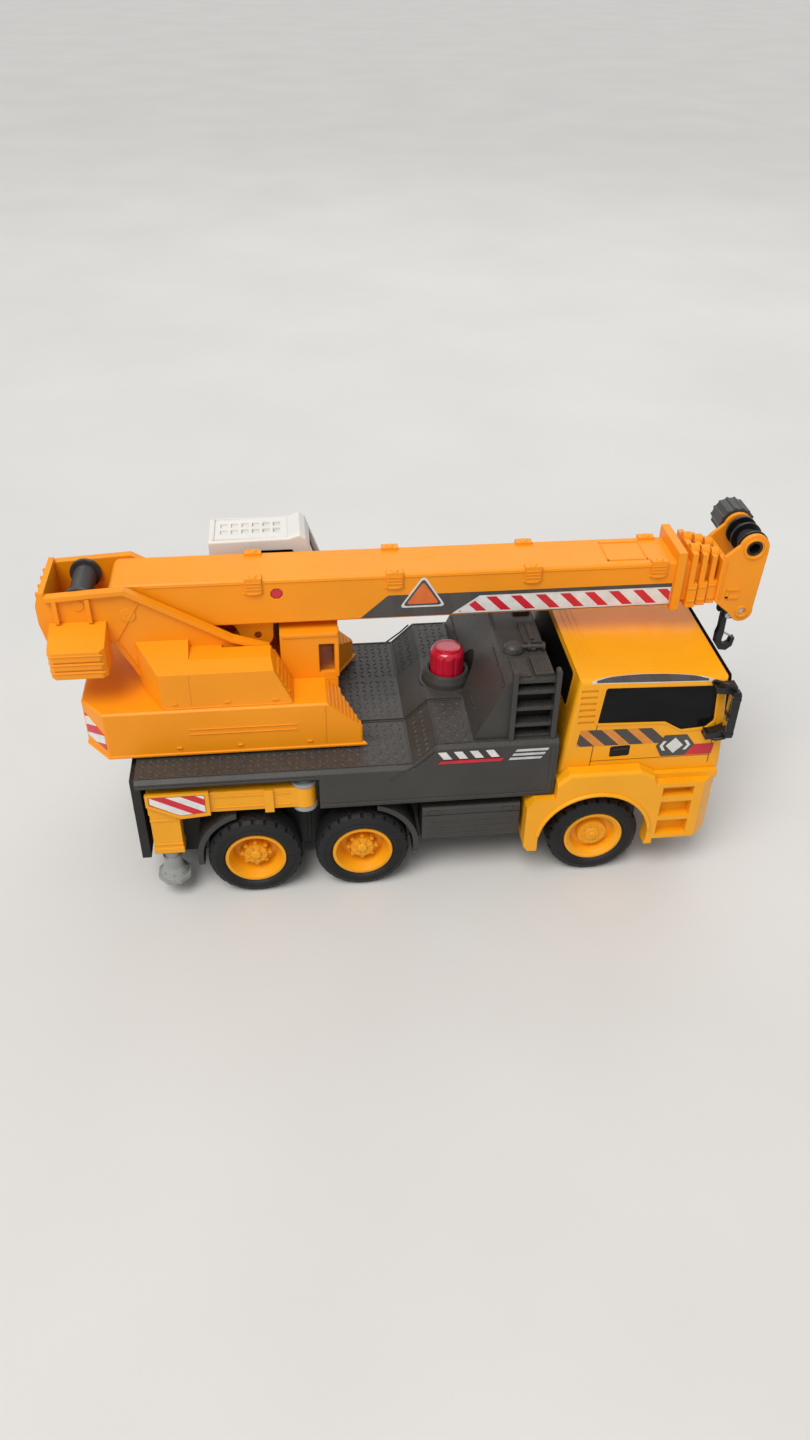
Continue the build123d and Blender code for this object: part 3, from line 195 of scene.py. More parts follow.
def metal(name, colour, rough=0.28):
    """Turned steel: fine rings of brushing and small stains."""
    made = bpy.data.materials.new(name)
    made.use_nodes = True
    tree = made.node_tree
    shader = tree.nodes["Principled BSDF"]
    shader.inputs["Metallic"].default_value = 1.0
    stain = ramp(tree, noise(tree, 140.0, 4.0),
                 [(0.35, tuple(c * 0.75 for c in colour)), (0.65, colour)])
    tree.links.new(stain, shader.inputs["Base Color"])
    brushed = noise(tree, 700.0, 2.0, (1.0, 8.0, 1.0))
    tree.links.new(maths(tree, "ADD", maths(tree, "MULTIPLY", brushed, 0.25), rough - 0.1),
                   shader.inputs["Roughness"])
    bump = tree.nodes.new("ShaderNodeBump")
    bump.inputs["Strength"].default_value = 0.15
    bump.inputs["Distance"].default_value = 0.0001
    tree.links.new(brushed, bump.inputs["Height"])
    tree.links.new(bump.outputs["Normal"], shader.inputs["Normal"])
    return made


def glossy_panel(name, colour):
    """A smooth black panel with faint smears."""
    made = bpy.data.materials.new(name)
    made.use_nodes = True
    tree = made.node_tree
    shader = tree.nodes["Principled BSDF"]
    smear = noise(tree, 35.0, 4.0, (1.0, 1.0, 2.5))
    tree.links.new(ramp(tree, smear, [(0.3, colour), (0.8, tuple(c * 2.2 + 0.002 for c in colour))]),
                   shader.inputs["Base Color"])
    tree.links.new(maths(tree, "ADD", maths(tree, "MULTIPLY", smear, 0.16), 0.05),
                   shader.inputs["Roughness"])
    shader.inputs["Specular IOR Level"].default_value = 0.12
    normal, mask = edge_mask(tree, 0.0005)
    tree.links.new(normal, shader.inputs["Normal"])
    return made


def striped(name, first, second, along, period, share=0.5, rough=0.3):
    """Printed film with slanting stripes; along is the direction across the stripes, in x, y, z."""
    made = bpy.data.materials.new(name)
    made.use_nodes = True
    tree = made.node_tree
    shader = tree.nodes["Principled BSDF"]
    coords = tree.nodes.new("ShaderNodeTexCoord")
    dot = tree.nodes.new("ShaderNodeVectorMath")
    dot.operation = "DOT_PRODUCT"
    tree.links.new(coords.outputs["Object"], dot.inputs[0])
    dot.inputs[1].default_value = along
    ripple = maths(tree, "MULTIPLY", noise(tree, 900.0, 2.0), period * 0.03)
    place = maths(tree, "FRACT", maths(tree, "DIVIDE", maths(tree, "ADD", dot.outputs["Value"], ripple), period))
    cut = maths(tree, "GREATER_THAN", place, share)
    faded = ramp(tree, noise(tree, 240.0, 4.0), [(0.3, grey(0.82)), (0.7, grey(1.0))])
    colour = mixed(tree, 1.0, mixed(tree, cut, first, second), faded, "MULTIPLY")
    tree.links.new(colour, shader.inputs["Base Color"])
    tree.links.new(maths(tree, "ADD", maths(tree, "MULTIPLY", noise(tree, 120.0), 0.25), rough - 0.1),
                   shader.inputs["Roughness"])
    bump = tree.nodes.new("ShaderNodeBump")
    bump.inputs["Strength"].default_value = 0.08
    bump.inputs["Distance"].default_value = 0.0002
    tree.links.new(noise(tree, 700.0, 3.0), bump.inputs["Height"])
    tree.links.new(bump.outputs["Normal"], shader.inputs["Normal"])
    return made


def rubber(name, colour):
    """Soft tyre plastic: dull, finely pitted, with dust settled on upward faces."""
    made = plastic(name, colour, rough=0.62, mottle=0.2, grain=0.22, wear=0.12, dust=0.05)
    return made


def braided(name, colour):
    made = bpy.data.materials.new(name)
    made.use_nodes = True
    tree = made.node_tree
    shader = tree.nodes["Principled BSDF"]
    coords = tree.nodes.new("ShaderNodeTexCoord")
    wave = node(tree, "ShaderNodeTexWave", Scale=900.0, Distortion=1.5, Detail=1.0)
    wave.bands_direction = "DIAGONAL"
    tree.links.new(coords.outputs["Object"], wave.inputs["Vector"])
    # The colour darkens to 0.4 in the low parts of the same wave that drives the bump: painted shade in the grooves of
    # the weave.
    tree.links.new(ramp(tree, wave.outputs["Fac"], [(0.2, tuple(c * 0.4 for c in colour)), (0.8, colour)]),
                   shader.inputs["Base Color"])
    shader.inputs["Roughness"].default_value = 0.85
    bump = tree.nodes.new("ShaderNodeBump")
    bump.inputs["Strength"].default_value = 0.6
    bump.inputs["Distance"].default_value = 0.0002
    tree.links.new(wave.outputs["Fac"], bump.inputs["Height"])
    tree.links.new(bump.outputs["Normal"], shader.inputs["Normal"])
    return made


ORANGE = plastic("crane_orange", (0.88, 0.312, 0.003), rough=0.42, mottle=0.05, wear=0.3, glow=0.06)
YELLOW = plastic("cab_yellow", (0.86, 0.375, 0.004), rough=0.36, mottle=0.045, wear=0.25, glow=0.06, coat=0.08)
RIM = plastic("rim_yellow", (0.84, 0.36, 0.006), rough=0.36, mottle=0.07, wear=0.2, glow=0.08)
DECK = plastic("deck_grey", (0.046, 0.043, 0.039), rough=0.42, mottle=0.12, grain=0.12, wear=0.4, dust=0.06)
# The tread bars are the deck's own grey plastic, coloured lighter than the deck: a painted highlight on the raised
# bars. The edge wear is separate.
TREAD_PAINTED_HIGHLIGHT = plastic("deck_tread", (0.105, 0.098, 0.088), rough=0.38, mottle=0.2, grain=0.1, wear=0.6)
BLACK = plastic("frame_black", (0.016, 0.016, 0.017), rough=0.44, mottle=0.2, grain=0.12, wear=0.35, dust=0.05)
SATIN = plastic("satin_black", (0.010, 0.010, 0.011), rough=0.3, mottle=0.2, grain=0.05, wear=0.2)
TYRE = rubber("tyre_black", (0.009, 0.009, 0.010))
WHITE = plastic("cabin_white", (0.72, 0.70, 0.66), rough=0.36, mottle=0.03, wear=0.1, dust=0.05)
RED = plastic("button_red", (0.56, 0.008, 0.035), rough=0.2, mottle=0.08, wear=0.15, glow=0.25, coat=0.5)
GREY = plastic("pin_grey", (0.30, 0.31, 0.30), rough=0.26, mottle=0.08, wear=0.4, coat=0.3)
DRUM = plastic("drum_grey", (0.055, 0.054, 0.052), rough=0.40, mottle=0.15, wear=0.25, coat=0.1)
STEEL = metal("steel", (0.62, 0.62, 0.63))
GLASS = glossy_panel("black_glass", (0.003, 0.003, 0.004))
MIRROR = metal("mirror_film", (0.82, 0.84, 0.86), rough=0.12)
LAMP = plastic("lamp_lens", (0.70, 0.71, 0.70), rough=0.14, mottle=0.05, wear=0.05, coat=0.6)
AMBER = plastic("amber_lens", (0.85, 0.20, 0.01), rough=0.18, wear=0.05, glow=0.2, coat=0.6)
TAIL = plastic("tail_lens", (0.50, 0.01, 0.012), rough=0.18, wear=0.05, glow=0.2, coat=0.6)
CORD = braided("cord", (0.03, 0.03, 0.03))
HOSE = plastic("hose", (0.36, 0.36, 0.34), rough=0.4, mottle=0.1, wear=0.0, glow=0.2)
SEAM = plastic("seam_shadow", (0.36, 0.12, 0.003), rough=0.5, wear=0.0)
# Near-black used for sheets set into recesses: painted shade, not a colour of the toy.
SHADE = plastic("painted_recess_shade", (0.004, 0.004, 0.004), rough=0.7, wear=0.0)
FILM_WHITE = striped("film_white", (0.78, 0.76, 0.74), (0.74, 0.72, 0.70), (1, 0, 0), 0.013)
FILM_DARK = striped("film_dark", (0.060, 0.055, 0.050), (0.070, 0.064, 0.058), (1, 0, 0.2), 0.017)
FILM_RED = striped("film_red", (0.62, 0.012, 0.03), (0.56, 0.012, 0.03), (1, 0, 0.3), 0.019)
FILM_SILVER = striped("film_silver", (0.55, 0.55, 0.56), (0.60, 0.60, 0.61), (1, 0, 0.1), 0.007)
FILM_SIGN = striped("film_orange", (0.78, 0.16, 0.02), (0.72, 0.15, 0.02), (0.4, 0, 1), 0.011)
FILM_HAZARD = striped("film_hazard", (0.66, 0.012, 0.03), (0.80, 0.78, 0.76), (0.707, 0, 0.707), 0.0076, 0.42)
FILM_PLATE = striped("film_plate", (0.66, 0.012, 0.03), (0.80, 0.78, 0.76), (0.5, 0, 0.86), 0.0064, 0.5)
FILM_REAR = striped("film_rear", (0.66, 0.012, 0.03), (0.80, 0.78, 0.76), (0.2, 0.55, 0.8), 0.0070, 0.5)
FILM_DOOR = striped("film_door", (0.060, 0.050, 0.045), (0.72, 0.25, 0.03), (0.707, 0, 0.707), 0.0078, 0.56)

NODE_LOOKS = {
    ORANGE: ("turntable_base", "engine_cover", "mast", "counterweights", "boom_cradle", "boom_outer",
             "boom_section_two", "boom_section_three", "boom_section_four", "jib_head", "lift_cylinder"),
    YELLOW: ("cab_shell", "cab_fenders", "outrigger_arm_right", "outrigger_arm_left"),
    RIM: ("front_rims", "middle_rims", "rear_rims"),
    DECK: ("deck", "equipment_box", "pump_collar", "side_boxes", "mudguards"),
    BLACK: ("underframe", "pump_cylinder", "check_valve", "turntable_retainer", "pump_plunger",
            "front_grille"),
    SATIN: ("mirrors", "hook_spool", "hook_block", "hook", "guide_roller"),
    DRUM: ("winch_drum", "winch_knob"),
    TYRE: ("front_tyres", "middle_tyres", "rear_tyres"),
    WHITE: ("operator_cabin",),
    RED: ("pump_button",),
    GREY: ("outrigger_pins", "outrigger_foot_right", "outrigger_foot_left", "turntable_pins"),
    STEEL: ("chassis_screws", "turntable_screws", "front_axle", "middle_axle", "rear_axle",
            "pump_spring", "boom_lug_pin", "lift_rod", "line_guide_pin"),
    GLASS: ("cab_glazing", "cabin_windows"),
    LAMP: ("headlamps",),
    CORD: ("hoist_cord", "hoist_cord_upper"),
    HOSE: ("air_hose",),
}
for look, names in NODE_LOOKS.items():
    for name in names:
        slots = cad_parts[name].data.materials
        for index in range(len(slots)):
            slots[index] = look
        if not len(slots):
            slots.append(look)


# ------------------------------------------------------------------ shapes
AXES = {"x": (1, 2, 0), "y": (0, 2, 1), "z": (0, 1, 2)}


class Shape:
    """Gathers closed solids, in millimetres, into one mesh."""

    def __init__(self):
        self.verts = []
        self.faces = []

    def add(self, verts, faces):
        start = len(self.verts)
        self.verts += [tuple(v) for v in verts]
        self.faces += [[i + start for i in face] for face in faces]
        return self

    def prism(self, outline, axis, low, high, taper=0.0):
        """An outline carried along an axis; taper draws the far end in towards its middle."""
        u, v, w = AXES[axis]
        count = len(outline)
        mid = (sum(p[0] for p in outline) / count, sum(p[1] for p in outline) / count)
        verts = []
        for level, shrink in ((low, 0.0), (high, taper)):
            for point in outline:
                spot = [0.0, 0.0, 0.0]
                spot[u] = point[0] + (mid[0] - point[0]) * shrink
                spot[v] = point[1] + (mid[1] - point[1]) * shrink
                spot[w] = level
                verts.append(spot)
        faces = [list(range(count))[::-1], list(range(count, 2 * count))]
        faces += [[i, (i + 1) % count, (i + 1) % count + count, i + count] for i in range(count)]
        return self.add(verts, faces)

    def box(self, x, y, z):
        return self.prism([(x[0], y[0]), (x[1], y[0]), (x[1], y[1]), (x[0], y[1])], "z", z[0], z[1])

    def lathe(self, profile, centre, axis, count=40):
        """A closed ring of (radius, place along the axis) points turned about the axis."""
        u, v, w = AXES[axis]
        verts = []
        for step in range(count):
            angle = 2 * math.pi * step / count
            for radius, place in profile:
                spot = [0.0, 0.0, 0.0]
                spot[u] = centre[u] + radius * math.cos(angle)
                spot[v] = centre[v] + radius * math.sin(angle)
                spot[w] = centre[w] + place
                verts.append(spot)
        size = len(profile)
        faces = []
        for step in range(count):
            after = (step + 1) % count
            for i in range(size):
                j = (i + 1) % size
                faces.append([step * size + i, step * size + j, after * size + j, after * size + i])
        return self.add(verts, faces)

    def disc(self, centre, axis, radius, low, high, count=28, taper=0.0):
        u, v, w = AXES[axis]
        outline = [(centre[u] + radius * math.cos(2 * math.pi * i / count),
                    centre[v] + radius * math.sin(2 * math.pi * i / count)) for i in range(count)]
        return self.prism(outline, axis, low, high, taper)

    def tube(self, path, radius, count=12):
        """A round bar along a list of points."""
        points = [Vector(p) for p in path]
        verts = []
        side = None
        for index, point in enumerate(points):
            ahead = points[min(index + 1, len(points) - 1)] - points[max(index - 1, 0)]
            ahead.normalize()
            if side is None:
                side = ahead.orthogonal().normalized()
            side = (side - ahead * side.dot(ahead)).normalized()
            other = ahead.cross(side)
            for step in range(count):
                angle = 2 * math.pi * step / count
                verts.append(point + (side * math.cos(angle) + other * math.sin(angle)) * radius)
        faces = []
        for ring in range(len(points) - 1):
            for step in range(count):
                after = (step + 1) % count
                faces.append([ring * count + step, ring * count + after,
                              (ring + 1) * count + after, (ring + 1) * count + step])
        faces.append(list(range(count))[::-1])
        faces.append([(len(points) - 1) * count + i for i in range(count)])
        return self.add(verts, faces)

    def both_sides(self):
        """Adds the mirror image across the truck's centre plane."""
        verts = [(x, -y, z) for x, y, z in self.verts]
        faces = [face[::-1] for face in self.faces]
        return self.add(verts, faces)

    def make(self, name, look, body, slot, bevel=0.0, smooth=False):
        mesh = bpy.data.meshes.new(name)
        mesh.from_pydata([(x * MM, y * MM, z * MM) for x, y, z in self.verts], [], self.faces)
        tidy = bmesh.new()
        tidy.from_mesh(mesh)
        bmesh.ops.recalc_face_normals(tidy, faces=tidy.faces)
        tidy.to_mesh(mesh)
        tidy.free()
        mesh.materials.append(look)
        made = bpy.data.objects.new(name, mesh)
        bpy.context.scene.collection.objects.link(made)
        if smooth:
            for polygon in mesh.polygons:
                polygon.use_smooth = True
            mesh.set_sharp_from_angle(angle=math.radians(35))
        if bevel:
            rounding = made.modifiers.new("rounding", "BEVEL")
            rounding.width = bevel * MM
            rounding.segments = 2
            rounding.limit_method = "ANGLE"
            rounding.angle_limit = math.radians(30)
        if body:
            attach(made, body)
        return made


def grown(outline, distance):
    """An outline moved outwards by a distance, corners mitred; the points run anticlockwise."""
    result = []
    count = len(outline)
    for i in range(count):
        before, here, after = Vector(outline[i - 1]), Vector(outline[i]), Vector(outline[(i + 1) % count])
        first, second = (here - before).normalized(), (after - here).normalized()
        n1, n2 = Vector((first.y, -first.x)), Vector((second.y, -second.x))
        join = (n1 + n2).normalized()
        result.append(tuple(here + join * (distance / max(0.35, join.dot(n1)))))
    return result


def rounded(outline, radius, steps=4):
    """An outline with each corner replaced by a short arc."""
    result = []
    count = len(outline)
    for i in range(count):
        before, here, after = Vector(outline[i - 1]), Vector(outline[i]), Vector(outline[(i + 1) % count])
        reach = min(radius, (before - here).length * 0.45, (after - here).length * 0.45)
        start = here + (before - here).normalized() * reach
        end = here + (after - here).normalized() * reach
        for k in range(steps + 1):
            t = k / steps
            spot = start * (1 - t) ** 2 + here * 2 * t * (1 - t) + end * t ** 2
            result.append((spot.x, spot.y))
    return result


# ------------------------------------------------------------------ deck
deck_low, deck_high = lo_hi("deck")
base_low, base_high = lo_hi("turntable_base")
cab_low, cab_high = lo_hi("cab_shell")
box_low, box_high = lo_hi("equipment_box")
DECK_TOP = base_low[2] + 4.2
RAISED = lo_hi("pump_collar")[0][2]
RAMP = (-3.5, 7.0)
SLOPE = (RAISED - DECK_TOP) / (RAMP[1] - RAMP[0])


def deck_height(x):
    if x < RAMP[0]:
        return DECK_TOP
    return min(RAISED, DECK_TOP + (x - RAMP[0]) * SLOPE)


def lozenge(shape, x, y, turn, lift, length=2.8, width=1.0, height=0.42):
    """One raised bar of tread plate, following the deck's slope."""
    c, s = math.cos(turn), math.sin(turn)
    base = [(length / 2, 0), (0, width / 2), (-length / 2, 0), (0, -width / 2)]
    crest = [(length * 0.22, 0), (-length * 0.22, 0)]
    verts = []
    for points, extra in ((base, -0.05), (crest, height)):
        for px, py in points:
            wx, wy = x + px * c - py * s, y + px * s + py * c
            verts.append((wx, wy, deck_height(wx) + lift + extra))
    shape.add(verts, [[3, 2, 1, 0], [0, 1, 4], [1, 2, 5, 4], [2, 3, 5], [3, 0, 4, 5]])


tread = Shape()
PITCH = 3.3
slew_x = -85.5
column = 0
x = deck_low[0] + 3.0
while x < 22.0:
    if not (RAMP[0] - 1.6 < x < RAMP[0] + 1.2 or RAMP[1] - 1.4 < x < RAMP[1] + 1.4):
        row = 0
        y = -46.5
        while y < 47.0:
            turn = math.radians(45 if (row + column) % 2 else -45)
            inner = abs(y) < 15.0
            border = 14.8 < abs(y) < 18.2
            on_panel = inner and -58.0 < x < 4.0
            hole = math.hypot(x - slew_x, y) < 14.0
            collar = math.hypot(x - 17.5, y) < 13.2
            outrigger = x > -60.0 or abs(y) < 47.5
            if not hole and not collar and not border and outrigger:
                if on_panel:
                    lozenge(tread, x, y, turn, 0.8)
                elif not inner or x < -61.0:
                    lozenge(tread, x, y, turn, 0.0)
            y += PITCH
            row += 1
    x += PITCH
    column += 1
tread.make("deck_tread", TREAD_PAINTED_HIGHLIGHT, "chassis", "deck_grey")

trim = Shape()
for side in (-1, 1):
    for y0, y1 in ((16.6, 17.3), (47.6, 48.3)):
        yy = sorted((side * y0, side * y1))
        trim.prism([(-120.0, DECK_TOP), (RAMP[0], DECK_TOP), (RAMP[1], RAISED), (22.0, RAISED),
                    (22.0, RAISED + 0.35), (RAMP[1], RAISED + 0.35), (RAMP[0], DECK_TOP + 0.35),
                    (-120.0, DECK_TOP + 0.35)], "y", yy[0], yy[1])
    yy = sorted((side * 50.4, side * 50.85))
    trim.prism([(-42.5, 50.0), (58.5, 50.0), (58.5, 51.4), (-42.5, 51.4)], "y", *yy)
    trim.prism([(56.6, 51.4), (58.5, 51.4), (58.5, 76.0), (56.6, 76.0)], "y", *yy)
    trim.prism([(-121.0, 66.0), (-46.0, 66.0), (-46.0, 66.9), (-121.0, 66.9)], "y", *yy)
    trim.prism([(-13.0, 62.0), (1.6, 73.6), (5.6, 77.6), (5.0, 78.0), (1.0, 74.0), (-13.6, 62.4)], "y", *yy)
for x0 in (RAMP[0] - 0.6, RAMP[1] - 0.4):
    for y0, y1 in ((-47.6, -17.3), (17.3, 47.6)):
        z0 = deck_height(x0 + 0.5)
        trim.box((x0, x0 + 0.9), (y0, y1), (z0 - 0.1, z0 + 0.38))
trim.make("deck_trim", DECK, "chassis", "deck_grey", bevel=0.12)

deck_marks = Shape()
for side in (-1, 1):
    yy = sorted((side * 50.55, side * 50.95))
    for k in range(4):
        x0 = 7.4 + 6.9 * k
        deck_marks.prism([(x0 + 2.4, 72.9), (x0 + 6.0, 72.9), (x0 + 3.4, 76.6), (x0 - 0.2, 76.6)], "y", *yy)
deck_marks.make("deck_marks_white", FILM_WHITE, "chassis", "deck_grey")
deck_line = Shape()
for side in (-1, 1):
    yy = sorted((side * 50.55, side * 50.92))
    deck_line.prism([(7.4, 70.4), (34.8, 70.4), (36.0, 71.9), (8.6, 71.9)], "y", *yy)
deck_line.make("deck_line_red", FILM_RED, "chassis", "deck_grey")
deck_bars = Shape()
for side in (-1, 1):
    yy = sorted((side * 50.55, side * 50.92))
    for z0 in (70.6, 72.8, 75.0):
        deck_bars.prism([(38.0 + (z0 - 70) * 0.6, z0), (52.0 + (z0 - 70) * 0.6, z0), (52.6 + (z0 - 70) * 0.6, z0 + 1.0),
                         (38.6 + (z0 - 70) * 0.6, z0 + 1.0)], "y", *yy)
deck_bars.make("deck_bars_silver", FILM_SILVER, "chassis", "deck_grey")

# ------------------------------------------------------------------ equipment box
top = 110.0
fittings = Shape()
for side in (-1, 1):
    fittings.lathe([(0.1, 0), (4.2, 0), (4.1, 0.9), (3.4, 1.9), (2.0, 2.6), (0.1, 2.9)], (42.0, side * 25.0, top + 1.3), "z", 32)
    for k in range(8):
        a = math.radians(45 * k)
        fittings.disc((42.0 + 4.1 * math.cos(a), side * 25.0 + 4.1 * math.sin(a), 0), "z", 0.35, top + 1.3, top + 1.8, 10)
    fittings.tube([(44.5, side * 25.0, top + 1.9), (48.0, side * 25.4, top + 2.1), (55.5, side * 25.6, top + 1.9)], 1.1)
    fittings.lathe([(1.0, -0.7), (1.8, -0.7), (1.8, 0.7), (1.0, 0.7)], (48.8, side * 25.5, top + 2.0), "x", 20)
    fittings.lathe([(0.1, -0.6), (2.0, -0.6), (2.0, 0.6), (0.1, 0.6)], (55.0, side * 25.6, top + 1.9), "x", 20)
    fittings.tube([(51.3, side * 7.0, top + 1.5), (51.3, side * 13.0, top + 2.0), (51.3, side * 19.5, top + 1.5)], 1.0)
    for k in range(5):
        x0 = 48.6 + 1.3 * k
        yy = sorted((side * 33.5, side * 44.0))
        fittings.box((x0, x0 + 0.6), yy, (top + 1.7, top + 2.1))
    yy = sorted((side * 33.2, side * 44.3))
    fittings.box((40.2, 45.0), yy, (top + 0.9, top + 1.3))
fittings.make("box_fittings", DECK, "chassis", "deck_grey", bevel=0.15, smooth=True)

grip = Shape()
for rung in (86.0, 94.5, 103.0):
    for k in range(11):
        x0 = 40.6 + 1.4 * k
        grip.prism([(x0, rung + 1.7), (x0 + 0.9, rung + 1.7), (x0 + 0.45, rung + 2.35)], "y", -47.7, -44.0)
grip.both_sides()
grip.make("rung_grips", DECK, "chassis", "deck_grey")
# A black sheet at the back of the ladder recess: painted shade between the rungs.
hollow = Shape().box((40.1, 55.9), (-42.9, -42.4), (80.9, 107.9))
hollow.both_sides()
hollow.make("ladder_shadow", SHADE, "chassis", "frame_black")

slope_panel = Shape()
for side in (-1, 1):
    for y0, y1 in ((15.5, 29.0), (31.0, 45.0)):
        yy = sorted((side * y0, side * y1))
        for t0, t1 in ((0.16, 0.19), (0.84, 0.87)):
            pts = [(23.0 + 14.0 * t, 79.6 + 30.4 * t) for t in (t0, t1)]
            nx, nz = -0.9, 0.41
            slope_panel.prism([pts[0], pts[1], (pts[1][0] + nx * 0.4, pts[1][1] + nz * 0.4),
                               (pts[0][0] + nx * 0.4, pts[0][1] + nz * 0.4)], "y", *yy)
slope_panel.make("box_slope_ribs", DECK, "chassis", "deck_grey")

# ------------------------------------------------------------------ chassis details
boxes_low, boxes_high = lo_hi("side_boxes")
side_trim = Shape()
for x0 in (boxes_low[0] + 3, boxes_high[0] - 8):
    side_trim.box((x0, x0 + 5.0), (boxes_low[1] - 0.5, boxes_low[1] + 0.4), (boxes_high[2] - 3.4, boxes_high[2] - 1.4))
for k in range(3):
    z0 = boxes_low[2] + 3.0 + 3.4 * k
    side_trim.box((boxes_low[0] + 3, boxes_high[0] - 3), (boxes_low[1] - 0.3, boxes_low[1] + 0.3), (z0, z0 + 0.5))
side_trim.both_sides()
side_trim.make("side_box_trim", DECK, "chassis", "deck_grey", bevel=0.12)

under_low, under_high = lo_hi("underframe")
ribs = Shape()
for x0 in (-100.0, -60.0, -50.0, -40.0, -8.0, 12.0, 30.0, 48.0):
    ribs.box((x0, x0 + 1.6), (-34.0, -32.6), (16.0, 46.0))
ribs.both_sides()
for y0 in (-12.0, 0.0, 12.0):
    ribs.box((-116.0, 100.0), (y0 - 0.6, y0 + 0.6), (under_low[2] - 0.6, under_low[2] + 0.2))
for x0 in (-90.0, -50.0, -10.0, 30.0, 68.0):
    ribs.box((x0, x0 + 1.2), (-28.0, 28.0), (under_low[2] - 0.5, under_low[2] + 0.2))
ribs.make("underframe_ribs", BLACK, "chassis", "frame_black", bevel=0.15)

rear_x = under_low[0]
rear_lens = Shape()
amber_lens = Shape()
for side in (-1, 1):
    for k, shape in ((0, rear_lens), (1, amber_lens), (2, rear_lens)):
        centre = side * (27.0 + 5.0 * k)
        shape.lathe([(0.1, 0.0), (2.1, 0.0), (2.0, -0.6), (1.1, -1.0), (0.1, -1.1)], (rear_x + 0.1, centre, 44.0), "x", 24)
rear_lens.make("tail_lenses", TAIL, "chassis", "button_red", smooth=True)
amber_lens.make("tail_ambers", AMBER, "chassis", "cab_yellow", smooth=True)
rear_parts = Shape()
rear_parts.box((rear_x - 0.2, rear_x + 1.0), (-13.0, 13.0), (36.0, 43.0))
for z0 in (24.0, 52.0, 58.0):
    rear_parts.box((rear_x + 0.2, rear_x + 1.0), (-38.0, 38.0), (z0, z0 + 1.0))
rear_parts.lathe([(1.6, -0.9), (3.0, -0.9), (3.0, 0.9), (1.6, 0.9)], (rear_x - 1.2, 0, 29.0), "y", 24)
rear_parts.make("rear_plate_trim", BLACK, "chassis", "frame_black", bevel=0.15)
rear_plate = Shape().prism(rounded([(-11.5, 37.0), (11.5, 37.0), (11.5, 42.0), (-11.5, 42.0)], 0.8), "x",
                           rear_x - 0.35, rear_x - 0.1)
rear_plate.make("rear_number_plate_blank", FILM_WHITE, "chassis", "cabin_white")

# ------------------------------------------------------------------ wheels
for wheel in ("front", "middle", "rear"):
    low, high = lo_hi(wheel + "_tyres")
    cx, cz = (low[0] + high[0]) / 2, (low[2] + high[2]) / 2
    face = low[1]
    walls = Shape()
    walls.lathe([(15.4, 0.25), (15.8, -0.18), (16.3, -0.18), (16.7, 0.25)], (cx, face, cz), "y", 64)
    walls.lathe([(17.6, 0.25), (17.75, -0.1), (17.95, -0.1), (18.1, 0.25)], (cx, face, cz), "y", 64)
    for k in range(36):
        a = 2 * math.pi * k / 36
        c, s = math.cos(a), math.sin(a)
        pts = [(cx + r * c - t * s, cz + r * s + t * c) for r, t in ((16.8, -0.25), (17.55, -0.25), (17.55, 0.25), (16.8, 0.25))]
        walls.prism(pts, "y", face - 0.12, face + 0.2)
    walls.both_sides()
    walls.make(wheel + "_tyre_walls", TYRE, wheel + "_wheels", "tyre_black", smooth=True)
    rim_face = lo_hi(wheel + "_rims")[0][1]
    hub = Shape()
    if wheel == "front":
        hub.lathe([(10.9, 1.9), (11.1, 0.9), (11.7, 0.6), (12.2, 0.3)], (cx, rim_face, cz), "y", 56)
        for k in range(10):
            a = 2 * math.pi * k / 10
            hub.disc((cx + 5.1 * math.cos(a), 0, cz + 5.1 * math.sin(a)), "y", 0.65, rim_face + 1.5, rim_face + 2.4, 12)
        hub.lathe([(0.1, 0.7), (1.3, 0.75), (1.6, 1.1), (1.7, 1.6), (0.1, 1.6)], (cx, rim_face, cz), "y", 28)
    else:
        hub.lathe([(0.1, 1.6), (1.8, 1.7), (2.3, 2.1), (2.5, 2.8), (0.1, 2.8)], (cx, rim_face, cz), "y", 32)
        for k in range(8):
            a = 2 * math.pi * (k + 0.5) / 8
            c, s = math.cos(a), math.sin(a)
            pts = [(cx + r * c - t * s, cz + r * s + t * c) for r, t in ((2.6, -0.3), (4.9, -0.3), (4.9, 0.3), (2.6, 0.3))]
            hub.prism(pts, "y", rim_face + 2.1, rim_face + 2.8)
        hub.lathe([(11.0, 3.4), (11.5, 3.2), (12.0, 1.2), (11.6, 1.4)], (cx, rim_face, cz), "y", 56)
    hub.both_sides()
    hub.make(wheel + "_hub_caps", RIM, wheel + "_wheels", "rim_yellow", smooth=True)

# ------------------------------------------------------------------ cab
CAB_SIDE = cab_low[1]
fender_low, fender_high = lo_hi("cab_fenders")
FRONT = fender_high[0]
# Black sheets in the door handle recesses: painted shade in the wells.
handle = Shape()
handle.prism(rounded([(84.1, 66.1), (84.1, 71.9), (92.9, 72.3), (92.9, 66.5)], 1.0), "y", CAB_SIDE + 0.2, CAB_SIDE + 0.75)
handle.both_sides()
handle.make("handle_wells_painted_shade", SHADE, "chassis", "frame_black")
grips = Shape().prism(rounded([(85.2, 69.6), (92.0, 69.9), (92.0, 71.4), (85.2, 71.0)], 0.5), "y", CAB_SIDE - 0.2, CAB_SIDE + 0.5)
grips.both_sides()
grips.make("door_handles", SATIN, "chassis", "frame_black", bevel=0.15)

seams = Shape()
for points in ([(75.4, 60.0), (75.9, 60.0), (76.9, 84.4), (76.4, 84.4)],
               [(129.6, 60.0), (130.1, 60.0), (130.0, 82.0), (129.5, 82.0)],
               [(75.6, 64.2), (129.8, 64.2), (129.8, 64.6), (75.6, 64.6)]):
    seams.prism(points, "y", CAB_SIDE - 0.03, CAB_SIDE + 0.2)
seams.both_sides()
seams.make("door_seams", SEAM, "chassis", "cab_yellow")

